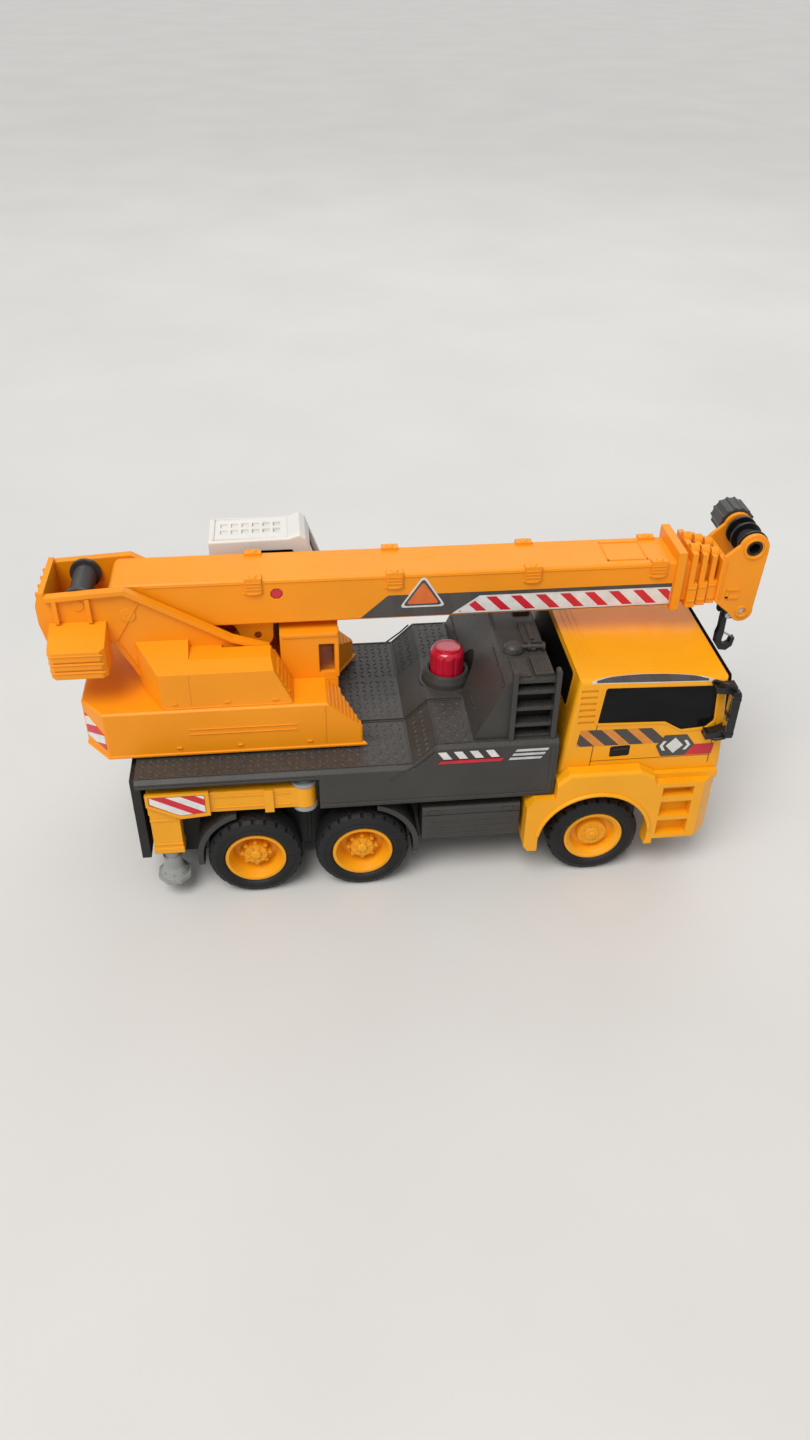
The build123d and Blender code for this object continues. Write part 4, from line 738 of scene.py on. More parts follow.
window_rim = Shape()
ring = rounded([(77.2, 104.8), (76.0 - 0.7, 84.2), (107.2, 83.1), (114.8, 78.2), (126.2, 79.0), (129.8, 82.9), (128.3, 103.6)], 2.0)
inner = rounded([(78.4, 103.8), (76.6, 85.2), (106.9, 84.2), (114.6, 79.4), (125.5, 80.2), (128.6, 83.5), (127.0, 102.4)], 1.2)
count = len(ring)
verts = [(x, CAB_SIDE - 0.28, z) for x, z in ring] + [(x, CAB_SIDE - 0.28, z) for x, z in inner]
verts += [(x, CAB_SIDE + 0.3, z) for x, z in ring] + [(x, CAB_SIDE + 0.3, z) for x, z in inner]
faces = []
for i in range(count):
    j = (i + 1) % count
    faces.append([i, j, count + j, count + i])
    faces.append([2 * count + i, 3 * count + i, 3 * count + j, 2 * count + j])
    faces.append([i, 2 * count + i, 2 * count + j, j])
    faces.append([count + i, count + j, 3 * count + j, 3 * count + i])
window_rim.add(verts, faces).both_sides()
window_rim.make("window_rims", YELLOW, "chassis", "cab_yellow", bevel=0.1)

door_film = Shape().prism([(68.4, 73.0), (109.6, 72.7), (101.6, 81.2), (69.6, 81.8)], "y", CAB_SIDE - 0.14, CAB_SIDE + 0.1)
door_film.both_sides()
door_film.make("door_stripes", FILM_DOOR, "chassis", "cab_yellow")
bar = Shape().prism([(112.0, 65.0), (130.6, 65.0), (131.2, 70.8), (114.0, 70.8)], "y", CAB_SIDE - 0.15, CAB_SIDE + 0.1)
bar.both_sides()
bar.make("door_bar_red", FILM_RED, "chassis", "cab_yellow")
shield = Shape()
shield.prism([(104.6, 70.9), (107.9, 76.6), (117.9, 76.6), (122.0, 70.9), (118.3, 65.1), (107.5, 65.1)],
             "y", CAB_SIDE - 0.22, CAB_SIDE + 0.1)
shield.both_sides()
shield.make("door_badge_dark", FILM_DARK, "chassis", "frame_black")
badge = Shape()
badge.prism([(109.0, 70.9), (112.9, 75.2), (116.8, 70.9), (112.9, 66.6)], "y", CAB_SIDE - 0.3, CAB_SIDE + 0.1)
badge.prism([(106.2, 70.9), (107.7, 73.5), (109.1, 73.5), (107.6, 70.9), (109.1, 68.3), (107.7, 68.3)],
            "y", CAB_SIDE - 0.3, CAB_SIDE + 0.1)
badge.prism([(120.2, 70.9), (118.4, 73.5), (117.0, 73.5), (118.8, 70.9), (117.0, 68.3), (118.4, 68.3)],
            "y", CAB_SIDE - 0.3, CAB_SIDE + 0.1)
badge.both_sides()
badge.make("door_badge_light", FILM_WHITE, "chassis", "cabin_white")
ROOF_ROUND = 2.4


def roof_point(x, along, lift):
    """A point on the roof's rounded near edge, a distance up and over from the side."""
    top_z = 108.0 - 0.034 * (x - 66.8)
    start = math.radians(15)
    turn_length = (math.pi / 2 - start) * ROOF_ROUND
    if along < turn_length:
        angle = start + along / ROOF_ROUND
        reach = ROOF_ROUND + lift
        return (x, CAB_SIDE + ROOF_ROUND - reach * math.cos(angle), top_z - ROOF_ROUND + reach * math.sin(angle))
    return (x, CAB_SIDE + ROOF_ROUND + along - turn_length, top_z + lift)


def roof_band(name, look, slot, x0, x1, low, high, lift):
    """A thin lens-shaped film wrapped over the roof edge."""
    shape = Shape()
    across, steps = 8, 28
    verts = []
    for level in (lift, -0.3):
        for i in range(steps + 1):
            share = i / steps
            x = x0 + (x1 - x0) * share
            width = (high - low) * max(0.06, math.sin(math.pi * share)) ** 0.55
            for j in range(across + 1):
                verts.append(roof_point(x, low + width * j / across, level))
    size = (steps + 1) * (across + 1)
    faces = []
    for i in range(steps):
        for j in range(across):
            a = i * (across + 1) + j
            b = a + across + 1
            faces.append([a, b, b + 1, a + 1])
            faces.append([size + a, size + a + 1, size + b + 1, size + b])
    for i in range(steps):
        for j in (0, across):
            a = i * (across + 1) + j
            b = a + across + 1
            faces.append([a, size + a, size + b, b])
    for j in range(across):
        for i in (0, steps):
            a = i * (across + 1) + j
            faces.append([a, a + 1, size + a + 1, size + a])
    shape.add(verts, faces).both_sides()
    shape.make(name, look, "chassis", slot)


roof_band("roof_edge_border", FILM_SILVER, "cabin_white", 72.0, 124.6, 0.2, 5.4, 0.10)
roof_band("roof_edge_strip", FILM_DARK, "frame_black", 74.0, 122.6, 0.6, 4.9, 0.17)
rear_glass = Shape()
rear_frame = Shape()
for shape, outline, depth in (
        (rear_glass, rounded([(-37.0, 88.0), (37.0, 88.0), (37.0, 105.0), (-37.0, 105.0)], 2.0), 0.2),
        (rear_frame, rounded([(-38.2, 86.6), (38.2, 86.6), (38.2, 106.2), (-38.2, 106.2)], 2.4), 0.1)):
    size = len(outline)
    verts = [(61.5 + (z - 57.0) * 0.1039 - depth, y, z) for y, z in outline]
    verts += [(61.5 + (z - 57.0) * 0.1039 + 0.3, y, z) for y, z in outline]
    shape.add(verts, [list(range(size)), list(range(size, 2 * size))[::-1]]
              + [[i, i + size, (i + 1) % size + size, (i + 1) % size] for i in range(size)])
rear_glass.make("cab_rear_window", GLASS, "chassis", "black_glass")
rear_frame.make("cab_rear_window_frame", YELLOW, "chassis", "cab_yellow")

roof = Shape()
for y0 in (-36.0, 36.0):
    roof.prism([(72.0, 107.0), (124.0, 105.3), (124.0, 106.2), (72.0, 108.25)], "y", y0 - 0.5, y0 + 0.5)
for k in range(3):
    x0 = 70.0 + 2.6 * k
    z0 = 108.0 - 0.034 * (x0 - 67)
    roof.box((x0, x0 + 1.0), (-34.0, 34.0), (z0 - 0.5, z0 + 0.2))
roof.make("roof_ribs", YELLOW, "chassis", "cab_yellow", bevel=0.15)

wipers = Shape()
for y0 in (-22.0, 14.0):
    wipers.tube([(135.9, y0, 77.5), (136.9, y0 + 6.0, 84.0), (136.0, y0 + 13.0, 92.0)], 0.45, 10)
    wipers.tube([(136.3, y0 + 4.0, 81.0), (135.7, y0 + 17.0, 96.0)], 0.35, 8)
    wipers.disc((0, y0, 77.2), "x", 1.3, 135.4, 137.0, 16)
wipers.make("wipers", SATIN, "chassis", "frame_black", smooth=True)

front = Shape()
front.prism(rounded([(-14.0, 27.6), (14.0, 27.6), (14.0, 32.4), (-14.0, 32.4)], 0.8), "x", FRONT - 1.0, FRONT - 0.6)
front.make("front_number_plate_blank", FILM_WHITE, "chassis", "cabin_white")
lamps = Shape()
for y0 in (-44.0, -38.5):
    lamps.lathe([(0.1, 0.0), (2.3, 0.0), (2.2, 0.7), (1.2, 1.2), (0.1, 1.3)], (FRONT + 0.6, y0, 41.5), "x", 24)
    lamps.lathe([(2.3, 0.0), (2.7, 0.0), (2.7, 0.9), (2.3, 0.9)], (FRONT + 0.5, y0, 41.5), "x", 24)
lamps.both_sides()
lamps.make("headlamp_lenses", LAMP, "chassis", "lamp", smooth=True)
ambers = Shape()
ambers.prism(rounded([(-46.0, 36.4), (-36.4, 36.4), (-36.4, 38.2), (-46.0, 38.2)], 0.4), "x", FRONT + 0.5, FRONT + 1.0)
ambers.both_sides()
ambers.make("indicator_lenses", AMBER, "chassis", "cab_yellow", bevel=0.12)
bumper = Shape()
for z0 in (24.0, 48.0):
    bumper.prism([(-45.0, z0), (45.0, z0), (45.0, z0 + 1.2), (-45.0, z0 + 1.2)], "x", FRONT - 0.3, FRONT + 0.5)
for k in range(5):
    z0 = 35.6 + 2.2 * k
    bumper.box((FRONT - 0.2, FRONT + 0.45), (-30.0, 30.0), (z0, z0 + 0.9))
for y0 in (-26.0, 26.0):
    bumper.disc((0, y0, 24.6), "x", 0.1, FRONT - 0.3, FRONT + 0.2, 8)
for z0 in (31.6, 42.8, 53.4):
    for k in range(9):
        x0 = 110.2 + 1.45 * k
        bumper.box((x0, x0 + 0.6), (fender_low[1] + 0.4, fender_low[1] + 4.2), (z0 + 0.2, z0 + 0.75))
        bumper.box((x0, x0 + 0.6), (-fender_low[1] - 4.2, -fender_low[1] - 0.4), (z0 + 0.2, z0 + 0.75))
bumper.make("bumper_ribs", YELLOW, "chassis", "cab_yellow", bevel=0.1)

arch = Shape()
arc = []
for k in range(25):
    a = math.radians(8 + 164 * k / 24)
    arc.append((79.8 + 26.4 * math.cos(a), fender_low[1] - 0.1, 23.7 + 26.4 * math.sin(a)))
arch.tube(arc, 1.0, 12)
arch.both_sides()
arch.make("arch_beads", YELLOW, "chassis", "cab_yellow", smooth=True)

mirror_low, mirror_high = lo_hi("mirrors")
arms = Shape()
arms.tube([(125.6, CAB_SIDE + 0.5, 104.4), (126.4, CAB_SIDE - 2.0, 105.4), (129.8, CAB_SIDE - 4.6, 105.8),
           (132.6, mirror_low[1] + 2.8, 104.2), (133.2, mirror_low[1] + 2.6, 101.6)], 0.75)
arms.tube([(124.8, CAB_SIDE + 0.5, 77.6), (125.4, CAB_SIDE - 3.0, 77.0), (129.0, CAB_SIDE - 5.0, 76.8),
           (132.6, mirror_low[1] + 2.8, 78.0), (133.2, mirror_low[1] + 2.6, 80.6)], 0.75)
for z0 in (77.8, 104.2):
    arms.lathe([(0.5, -0.5), (1.3, -0.5), (1.3, 0.5), (0.5, 0.5)], (125.2, CAB_SIDE - 0.6, z0), "y", 16)
for z0 in (82.0, 100.0):
    arms.box((mirror_high[0] - 3.5, mirror_high[0] + 0.1), (mirror_low[1] - 0.15, mirror_low[1] + 5.0), (z0 - 0.4, z0 + 0.4))
arms.both_sides()
arms.make("mirror_arms", SATIN, "chassis", "frame_black", smooth=True)
glasses = Shape()
for z0, z1 in ((81.0, 89.8), (92.2, 101.2)):
    glasses.prism(rounded([(mirror_low[1] + 0.8, z0), (mirror_low[1] + 4.6, z0), (mirror_low[1] + 4.6, z1), (mirror_low[1] + 0.8, z1)], 0.8),
                  "x", mirror_high[0] - 3.6, mirror_high[0] - 3.1)
glasses.both_sides()
glasses.make("mirror_glasses", MIRROR, "chassis", "steel")

# ------------------------------------------------------------------ pump
cap = Shape()
button_low, button_high = lo_hi("pump_button")
bx, by = (button_low[0] + button_high[0]) / 2, (button_low[1] + button_high[1]) / 2
cap.lathe([(0.1, -0.2), (6.2, -0.2), (5.6, 0.12), (3.4, 0.3), (0.1, 0.36)], (bx, by, button_high[2]), "z", 48)
cap.make("button_crown", RED, "pump", "button_red", smooth=True)
collar_low, collar_high = lo_hi("pump_collar")
seat = Shape()
seat.lathe([(8.7, -0.2), (9.6, -0.2), (9.3, 0.5), (8.9, 0.5)], (bx, by, collar_high[2]), "z", 56)
seat.lathe([(11.4, 0.0), (13.0, 0.0), (12.6, 0.7), (11.5, 0.9)], (bx, by, collar_low[2]), "z", 56)
seat.make("collar_lip", DECK, "chassis", "deck_grey", smooth=True)

# ------------------------------------------------------------------ outriggers
for side, word in ((-1, "right"), (1, "left")):
    arm_low, arm_high = lo_hi("outrigger_arm_" + word)
    outer = side * arm_high[1] if side > 0 else arm_low[1]
    outer = arm_high[1] if side > 0 else arm_low[1]
    yy = sorted((outer - side * 0.5, outer - side * 0.1))
    plate = Shape().prism(rounded([(-116.8, 60.0), (-116.8, 56.1), (-104.2, 49.6), (-93.6, 50.6), (-93.6, 60.0)], 0.6), "y", *yy)
    plate.make("hazard_plate_" + word, FILM_PLATE, "outrigger_" + word, "cab_yellow")
    ribs = Shape()
    for z0 in (51.2, 57.4):
        ribs.box((-90.0, -56.5), sorted((side * 48.5, side * 49.0)), (z0, z0 + 0.7))
    for z0 in (31.5, 45.6):
        ribs.box((-118.2, -105.2), sorted((side * 48.4, side * 49.0)), (z0, z0 + 0.8))
    ribs.make("outrigger_ribs_" + word, YELLOW, "outrigger_" + word, "cab_yellow", bevel=0.12)
    foot_low, foot_high = lo_hi("outrigger_foot_" + word)
    fx, fy = (foot_low[0] + foot_high[0]) / 2, (foot_low[1] + foot_high[1]) / 2
    pad = Shape()
    pad.lathe([(5.0, 2.0), (6.4, 2.1), (6.1, 2.7), (5.0, 2.8)], (fx, fy, foot_low[2]), "z", 40)
    for k in range(8):
        a = math.radians(45 * k)
        c, s = math.cos(a), math.sin(a)
        pts = [(fx + r * c - t * s, fy + r * s + t * c) for r, t in ((3.4, -0.4), (6.0, -0.4), (6.0, 0.4), (3.4, 0.4))]
        pad.prism(pts, "z", foot_low[2] + 2.0, foot_low[2] + 4.4, 0.2)
    pad.make("foot_ribs_" + word, GREY, "foot_" + word, "pin_grey", smooth=True)
caps = Shape()
for side in (-1, 1):
    for z0, z1 in ((61.9, 62.5), (46.7, 47.3)):
        caps.lathe([(2.6, 0), (3.4, 0), (3.4, z1 - z0), (2.6, z1 - z0)], (-50.5, side * 44.5, z0), "z", 24)
        caps.disc((-50.5, side * 44.5, 0), "z", 1.6, z0, z1, 6)
caps.make("outrigger_pin_caps", GREY, "chassis", "pin_grey", bevel=0.1)

# ------------------------------------------------------------------ turntable
PLAN = [(-133.0, -35.0), (-22.8, -35.0), (-33.0, -18.0), (-33.0, 18.0), (-22.8, 35.0), (-133.0, 35.0),
        (-143.0, 23.0), (-143.0, -23.0)]
lip = Shape()
outer_ring, inner_ring = grown(PLAN, 0.55), grown(PLAN, -0.8)
count = len(PLAN)
for z0, z1 in ((71.0, 72.3),):
    verts = [(x, y, z0) for x, y in outer_ring] + [(x, y, z0) for x, y in inner_ring]
    verts += [(x, y, z1) for x, y in outer_ring] + [(x, y, z1) for x, y in inner_ring]
    faces = []
    for i in range(count):
        j = (i + 1) % count
        faces.append([i, count + i, count + j, j])
        faces.append([2 * count + i, 2 * count + j, 3 * count + j, 3 * count + i])
        faces.append([i, j, 2 * count + j, 2 * count + i])
        faces.append([count + i, 3 * count + i, 3 * count + j, count + j])
    lip.add(verts, faces)
lip.make("base_lip", ORANGE, "turntable", "crane_orange", bevel=0.3)

base_trim = Shape()
for z0 in (81.6, 84.2):
    base_trim.box((-98.0, -52.0), (-35.35, -34.8), (z0, z0 + 0.45))
for x0 in (-104.0, -78.0, -48.0):
    base_trim.box((x0, x0 + 2.2), (-35.6, -34.8), (74.6, 75.4))
base_trim.box((-40.0, -39.5), (-35.2, -34.8), (74.0, 93.0))
for k in range(9):
    x0 = -38.0 + 1.6 * k
    z0 = 94.4 - 0.9 * (x0 + 39.0)
    inner_y = 16.2 if x0 < -33.0 else 18.6 + 1.66 * (x0 + 33.0)
    base_trim.prism([(x0, z0 - 0.3), (x0 + 0.7, z0 - 0.93), (x0 + 0.9, z0 - 0.35), (x0 + 0.2, z0 + 0.28)], "y", -34.0, -inner_y)
base_trim.both_sides()
base_trim.make("base_trim", ORANGE, "turntable", "crane_orange", bevel=0.08)

corner = Shape()
a, b = Vector((-133.4, -34.5)), Vector((-142.2, -24.0))
out = Vector((-0.77, -0.64))
corner.add([(a.x + out.x * 0.25, a.y + out.y * 0.25, 75.5), (b.x + out.x * 0.25, b.y + out.y * 0.25, 77.0),
            (b.x + out.x * 0.25, b.y + out.y * 0.25, 88.6), (a.x + out.x * 0.25, a.y + out.y * 0.25, 83.4),
            (a.x - out.x * 0.4, a.y - out.y * 0.4, 75.5), (b.x - out.x * 0.4, b.y - out.y * 0.4, 77.0),
            (b.x - out.x * 0.4, b.y - out.y * 0.4, 88.6), (a.x - out.x * 0.4, a.y - out.y * 0.4, 83.4)],
           [[0, 1, 2, 3], [7, 6, 5, 4], [0, 4, 5, 1], [1, 5, 6, 2], [2, 6, 7, 3], [3, 7, 4, 0]])
corner.both_sides()
corner.make("base_corner_films", FILM_REAR, "turntable", "crane_orange")

engine_low, engine_high = lo_hi("engine_cover")
cover = Shape()
for x0 in (-104.0, -82.0, -62.0):
    cover.prism(rounded([(x0, 96.6), (x0 + 2.6, 96.6), (x0 + 2.6, 97.6), (x0, 97.6)], 0.4), "y", engine_low[1] - 0.45, engine_low[1] + 0.2)
cover.box((-107.0, -54.0), (engine_low[1] - 0.35, engine_low[1] + 0.2), (94.4, 95.2))
for x0 in (-96.0,):
    cover.box((x0, x0 + 0.5), (engine_low[1] - 0.12, engine_low[1] + 0.2), (96.0, 110.8))
for k in range(4):
    z0 = 98.4 + 3.1 * k
    x1 = -52.8 - (z0 - 94.4) * 0.44
    cover.prism([(x1 - 0.1, z0), (x1 + 0.5, z0 + 0.1), (x1 + 0.1, z0 + 1.0), (x1 - 0.5, z0 + 0.9)], "y", -31.0, -18.5)
cover.make("cover_trim", ORANGE, "turntable", "crane_orange", bevel=0.1)
mast_low, mast_high = lo_hi("mast")
mast_trim = Shape()
for side in (-1, 1):
    face = side * 15.2
    mast_trim.lathe([(0.1, -side * 0.2), (3.4, -side * 0.2), (3.2, side * 0.4), (0.1, side * 0.5)], (-119.0, face, 130.5), "y", 32)
    yy = sorted((face - side * 0.1, face + side * 0.5))
    mast_trim.prism([(-125.4, 119.0), (-124.6, 118.6), (-116.0, 100.0), (-116.9, 99.6)], "y", *yy)
    mast_trim.prism([(-124.9, 119.4), (-125.4, 118.8), (-124.6, 118.6), (-113.6, 136.4), (-114.4, 136.9)], "y", *yy)
    mast_trim.lathe([(0.1, -side * 0.4), (2.8, -side * 0.4), (2.6, side * 0.3), (0.1, side * 0.4)], (-138.5, face, 136.0), "y", 28)
for y0 in (-10.0, -3.4, 3.4, 10.0):
    mast_trim.box((-155.5, -153.4), (y0 - 0.4, y0 + 0.4), (120.0, 140.0))
mast_trim.make("mast_trim", ORANGE, "turntable", "crane_orange", bevel=0.1)

weights_low, weights_high = lo_hi("counterweights")
weight_trim = Shape()
for z0 in (113.2, 117.2, 121.4):
    weight_trim.box((-150.4, -128.6), (weights_low[1] - 0.35, weights_low[1] + 0.3), (z0, z0 + 0.55))
    weight_trim.box((-151.35, -150.8), (weights_low[1] + 2.0, -16.0), (z0, z0 + 0.55))
weight_trim.both_sides()
weight_trim.make("weight_trim", ORANGE, "turntable", "crane_orange", bevel=0.12)

cradle_low, cradle_high = lo_hi("boom_cradle")
cradle = Shape()
for y0 in (-9.0, 0.0, 9.0):
    cradle.box((cradle_high[0] - 0.1, cradle_high[0] + 0.35), (y0 - 0.5, y0 + 0.5), (97.0, 116.0))
cradle.box((cradle_low[0] + 1.0, cradle_high[0] - 0.6), (cradle_low[1] - 0.5, cradle_low[1] + 1.6), (115.4, 117.0))
cradle.make("cradle_trim", ORANGE, "turntable", "crane_orange", bevel=0.12)

cabin_low, cabin_high = lo_hi("operator_cabin")
cabin_trim = Shape()
cabin_trim.box((-84.0, -52.0), (cabin_low[1] + 1.2, cabin_low[1] + 2.0), (145.2, 146.1))
cabin_trim.box((-84.0, -52.0), (cabin_high[1] - 2.0, cabin_high[1] - 1.2), (145.2, 146.1))
for x0 in (-84.4, -52.4):
    cabin_trim.box((x0, x0 + 0.8), (cabin_low[1] + 1.2, cabin_high[1] - 1.2), (145.2, 146.1))
cabin_trim.prism(rounded([(-77.0, 98.0), (-41.0, 98.0), (-41.0, 99.0), (-77.0, 99.0)], 0.4), "y", cabin_high[1] - 0.2, cabin_high[1] + 0.4)
cabin_trim.box((-74.0, -73.4), (cabin_high[1] - 0.2, cabin_high[1] + 0.25), (98.0, 142.0))
cabin_trim.box((cabin_low[0] - 0.3, cabin_low[0] + 0.3), (20.0, 37.0), (112.0, 113.0))
cabin_trim.box((cabin_low[0] - 0.3, cabin_low[0] + 0.3), (20.0, 37.0), (100.0, 101.0))
cabin_trim.make("cabin_trim", WHITE, "turntable", "cabin_white", bevel=0.15)
cabin_dark = Shape()
cabin_dark.tube([(-72.0, cabin_high[1] + 0.1, 108.0), (-72.0, cabin_high[1] + 1.2, 109.2), (-72.0, cabin_high[1] + 1.2, 114.0), (-72.0, cabin_high[1] + 0.1, 115.2)], 0.5, 10)
cabin_dark.tube([(-40.4, 28.0, 119.0), (-40.8, 31.0, 126.0), (-43.6, 34.0, 134.0)], 0.45, 10)
cabin_dark.make("cabin_handle_wiper", SATIN, "turntable", "frame_black", smooth=True)

# ------------------------------------------------------------------ boom
boom_low, boom_high = lo_hi("boom_outer")
BOOM_SIDE = 12.0
film = Shape().prism([(-22.6, 121.9), (-10.8, 132.4), (112.9, 132.4), (112.9, 121.9)], "y", -BOOM_SIDE - 0.12, -BOOM_SIDE + 0.05)
film.both_sides()
film.make("boom_band_dark", FILM_DARK, "boom", "frame_black")
edge = Shape().prism([(16.8, 122.2), (28.6, 130.6), (112.8, 130.6), (112.8, 122.2)], "y", -BOOM_SIDE - 0.16, -BOOM_SIDE + 0.05)
edge.both_sides()
edge.make("boom_band_border", FILM_WHITE, "boom", "cabin_white")
hazard = Shape().prism([(19.6, 123.0), (29.0, 129.8), (112.6, 129.8), (112.6, 123.0)], "y", -BOOM_SIDE - 0.2, -BOOM_SIDE + 0.05)
hazard.both_sides()
hazard.make("boom_band_stripes", FILM_HAZARD, "boom", "button_red")
sign = Shape()
border = Shape()
border.prism(rounded([(-6.0, 126.2), (14.0, 126.2), (4.4, 141.6)], 2.4), "y", -BOOM_SIDE - 0.18, -BOOM_SIDE + 0.05)
border.both_sides()
border.make("sign_border", FILM_WHITE, "boom", "cabin_white")
rim = Shape().prism(rounded([(-4.6, 127.0), (12.6, 127.0), (4.3, 140.2)], 2.0), "y", -BOOM_SIDE - 0.24, -BOOM_SIDE + 0.05)
rim.both_sides()
rim.make("sign_rim", FILM_DARK, "boom", "frame_black")
sign.prism(rounded([(-3.0, 127.9), (11.0, 127.9), (4.2, 138.5)], 1.6), "y", -BOOM_SIDE - 0.3, -BOOM_SIDE + 0.05)
sign.both_sides()
sign.make("sign_field", FILM_SIGN, "boom", "crane_orange")

boom_trim = Shape()
for band in (-67.0, -8.0, 51.0, 106.0):
    for k in range(3):
        z0 = 138.2 + 1.5 * k
        boom_trim.box((band - 3.2, band + 3.2), (-13.25, -12.8), (z0, z0 + 0.6))
    shelf = [(band + 4.3 * math.cos(math.radians(a)), -BOOM_SIDE + 0.4 - 1.7 * abs(math.sin(math.radians(a)))) for a in range(180, 361, 15)]
    boom_trim.prism(shelf, "z", 136.0, 136.9)
    boom_trim.disc((band, -10.9, 0), "z", 1.9, 143.4, 144.1, 20, 0.25)
boom_trim.box((-112.0, 109.0), (-BOOM_SIDE - 0.25, -BOOM_SIDE + 0.1), (140.7, 141.3))
boom_trim.both_sides()
for x0 in (84.0, 101.2):
    boom_trim.box((x0, x0 + 0.7), (-8.2, 8.2), (142.3, 142.95))
for y0 in (-8.2, 7.5):
    boom_trim.box((84.0, 101.9), (y0, y0 + 0.7), (142.3, 142.95))
boom_trim.make("boom_trim", ORANGE, "boom", "crane_orange", bevel=0.12)
plug = Shape()
octagon = [(-57.5 + 2.5 * math.cos(math.radians(22.5 + 45 * k)), 135.6 + 2.5 * math.sin(math.radians(22.5 + 45 * k))) for k in range(8)]
plug.prism(octagon, "y", -11.75, -10.6)
plug.make("boom_plug_red", RED, "boom", "button_red", bevel=0.3)

head_low, head_high = lo_hi("jib_head")
head_trim = Shape()
side_face = head_low[1]
head_trim.lathe([(3.9, 0.1), (5.0, 0.1), (4.9, -0.6), (4.0, -0.6)], (147.3, side_face, 147.0), "y", 36)
head_trim.lathe([(1.9, 0.1), (3.1, 0.1), (3.0, -0.5), (2.0, -0.5)], (147.6, side_face, 115.8), "y", 28)
head_trim.box((138.4, 144.6), (side_face - 0.5, side_face + 0.1), (126.6, 128.2))
head_trim.box((138.4, 144.6), (side_face - 0.5, side_face + 0.1), (122.6, 124.2))
head_trim.box((138.4, 139.8), (side_face - 0.5, side_face + 0.1), (123.0, 127.0))
head_trim.prism([(136.0, 141.6), (136.6, 142.0), (136.2, 123.0), (135.4, 123.0)], "y", side_face - 0.4, side_face + 0.1)
head_trim.both_sides()
head_trim.make("head_trim", ORANGE, "section_four", "crane_orange", bevel=0.12)
for name, body, x0 in (("boom_section_two", "section_two", 120.4), ("boom_section_three", "section_three", 125.4),
                       ("boom_section_four", "section_four", 130.2)):
    low, high = lo_hi(name)
    fins = Shape()
    half = high[1]
    for y0 in (-half, half - 0.8):
        fins.box((x0 + 0.2, high[0] - 0.3), (y0 - 0.35, y0 + 1.15), (122.4, 123.4))
        fins.box((x0 + 0.2, high[0] - 0.3), (y0 - 0.35, y0 + 1.15), (128.8, 129.6))
    fins.disc((0, -half * 0.45, high[2] - 0.8), "x", 2.6, x0 + 0.2, high[0] - 0.2, 24)
    fins.disc((0, half * 0.45, high[2] - 0.8), "x", 2.6, x0 + 0.2, high[0] - 0.2, 24)
    fins.make(name + "_fins", ORANGE, body, "crane_orange", bevel=0.15)

spool_low, spool_high = lo_hi("winch_knob")
knob = Shape()
kx, kz = (spool_low[0] + spool_high[0]) / 2, 147.0
knob.lathe([(0.1, 0.5), (2.6, 0.4), (2.8, 0.0), (5.6, 0.0), (5.8, 0.45), (6.6, 0.4), (6.8, -0.4), (0.1, -0.4)], (147.3, spool_high[1], kz), "y", 40)
knob.make("knob_face", DRUM, "spool", "deck_grey", smooth=True)
wound = Shape()
for k in range(9):
    y0 = -6.6 + 0.95 * k if k < 6 else 0.9 + 0.95 * (k - 6) + 0.2
    wound.lathe([(3.9, -0.42), (4.5, -0.3), (4.68, 0.0), (4.5, 0.3), (3.9, 0.42)], (147.3, y0, kz), "y", 32)
wound.make("spool_cord", CORD, "spool", "cord", smooth=True)

# ------------------------------------------------------------------ hook
latch = Shape()
hook_low, hook_high = lo_hi("hook")
latch.tube([(hook_low[0] + 2.0, 0, hook_high[2] - 12.5), (hook_low[0] + 5.0, 0, hook_high[2] - 14.6), (hook_low[0] + 7.6, 0, hook_high[2] - 16.2)], 0.45, 10)
latch.make("hook_latch", STEEL, "hook", "steel", smooth=True)
block_low, block_high = lo_hi("hook_block")
cheeks = Shape()
for side in (-1, 1):
    cheeks.lathe([(0.3, 0.0), (1.6, 0.0), (1.4, side * 0.5), (0.3, side * 0.6)], ((block_low[0] + block_high[0]) / 2, side * 4.5, 109.9), "y", 20)
cheeks.make("hook_block_rivets", STEEL, "hook_carrier", "steel", smooth=True)

cord_low, cord_high = lo_hi("hoist_cord")
cx, cy = (cord_low[0] + cord_high[0]) / 2, (cord_low[1] + cord_high[1]) / 2
radius = (cord_high[0] - cord_low[0]) / 2
drop = Shape()
rings = 40
path = [(cx, cy, cord_high[2] + (cord_low[2] - cord_high[2]) * k / rings) for k in range(rings + 1)]
drop.tube(path, radius, 12)
cord = drop.make("hoist_cord_drop", CORD, None, "cord", smooth=True)
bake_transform(cord)
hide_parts("hoist_cord")

# ------------------------------------------------------------------ pump spring
spring_low, spring_high = lo_hi("pump_spring")
wire = 0.45
bottom, height = spring_low[2] + wire, spring_high[2] - spring_low[2] - 2 * wire
coil_radius = (spring_high[0] - spring_low[0]) / 2 - wire
coil = Shape()
turns = 5
coil.tube([(bx + coil_radius * math.cos(2 * math.pi * k / 28), by + coil_radius * math.sin(2 * math.pi * k / 28),
            bottom + height * k / (28 * turns)) for k in range(28 * turns + 1)], wire, 10)
spring = coil.make("pump_spring_coil", STEEL, "chassis", "steel", smooth=True)
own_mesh(spring)
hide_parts("pump_spring")

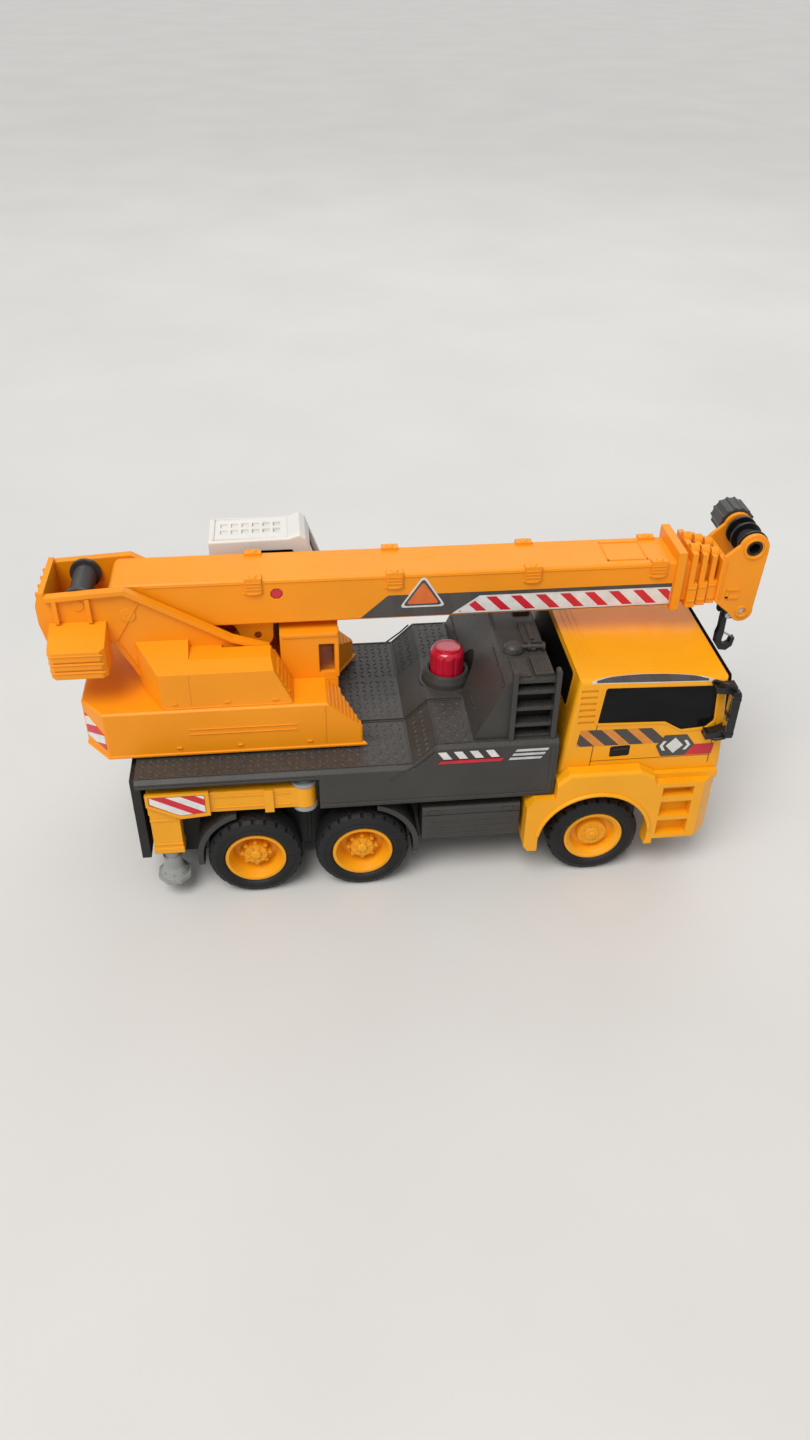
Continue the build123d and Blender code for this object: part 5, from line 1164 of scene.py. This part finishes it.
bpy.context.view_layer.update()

# ------------------------------------------------------------------ stage
floor_mesh = bpy.data.meshes.new("floor")
floor_mesh.from_pydata([(-12, -6, 0), (12, -6, 0), (12, 30, 0), (-12, 30, 0)], [], [[0, 1, 2, 3]])
floor = bpy.data.objects.new("floor", floor_mesh)
bpy.context.scene.collection.objects.link(floor)
pale = bpy.data.materials.new("floor_pale")
pale.use_nodes = True
pale_shader = pale.node_tree.nodes["Principled BSDF"]
pale.node_tree.links.new(ramp(pale.node_tree, noise(pale.node_tree, 6.0, 3.0), [(0.3, (0.62, 0.61, 0.59)), (0.7, (0.66, 0.65, 0.63))]),
                         pale_shader.inputs["Base Color"])
pale_shader.inputs["Roughness"].default_value = 0.55
floor_mesh.materials.append(pale)

world = bpy.data.worlds.new("studio")
world.use_nodes = True
world.node_tree.nodes["Background"].inputs["Color"].default_value = (0.93, 0.94, 0.96, 1.0)
world.node_tree.nodes["Background"].inputs["Strength"].default_value = 0.55
bpy.context.scene.world = world


def softbox(name, place, size, power, colour):
    data = bpy.data.lights.new(name, "AREA")
    data.shape = "RECTANGLE"
    data.size, data.size_y = size
    data.energy = power
    data.color = colour
    lamp = bpy.data.objects.new(name, data)
    lamp.location = place
    lamp.rotation_euler = (Vector((0, 0, 0.06)) - Vector(place)).to_track_quat("-Z", "Y").to_euler()
    bpy.context.scene.collection.objects.link(lamp)


softbox("key", (-0.55, -0.75, 1.25), (0.9, 0.7), 5.0, (1.0, 0.96, 0.90))
softbox("back", (0.35, 1.1, 1.0), (1.2, 0.6), 3.0, (0.95, 0.97, 1.0))
sky = bpy.data.lights.new("sky", "SUN")
sky.energy = 1.7
sky.angle = math.radians(35)
sky.color = (1.0, 0.98, 0.95)
sky_lamp = bpy.data.objects.new("sky", sky)
sky_lamp.rotation_euler = Vector((0.35, 0.45, -1.0)).to_track_quat("-Z", "Y").to_euler()
bpy.context.scene.collection.objects.link(sky_lamp)

scene = bpy.context.scene
scene.view_settings.view_transform = "Standard"
scene.view_settings.look = "None"

camera_data = bpy.data.cameras.new("camera")
camera_data.sensor_width = 36.0
camera_data.lens = 27.146
camera_data.clip_start = 0.01
camera_data.clip_end = 100.0
camera = bpy.data.objects.new("camera", camera_data)
azimuth, pitch, roll = math.radians(6.535), math.radians(37.127), math.radians(0.8247)
ahead = Vector((math.sin(azimuth) * math.cos(pitch), math.cos(azimuth) * math.cos(pitch), -math.sin(pitch)))
level = Vector((math.cos(azimuth), -math.sin(azimuth), 0.0))
upward = level.cross(ahead)
right = level * math.cos(roll) + upward * math.sin(roll)
up = -level * math.sin(roll) + upward * math.cos(roll)
turn = Matrix((right, up, -ahead)).transposed().to_4x4()
camera.matrix_world = Matrix.Translation((-0.048216, -0.408328, 0.367848)) @ turn
scene.collection.objects.link(camera)
scene.camera = camera
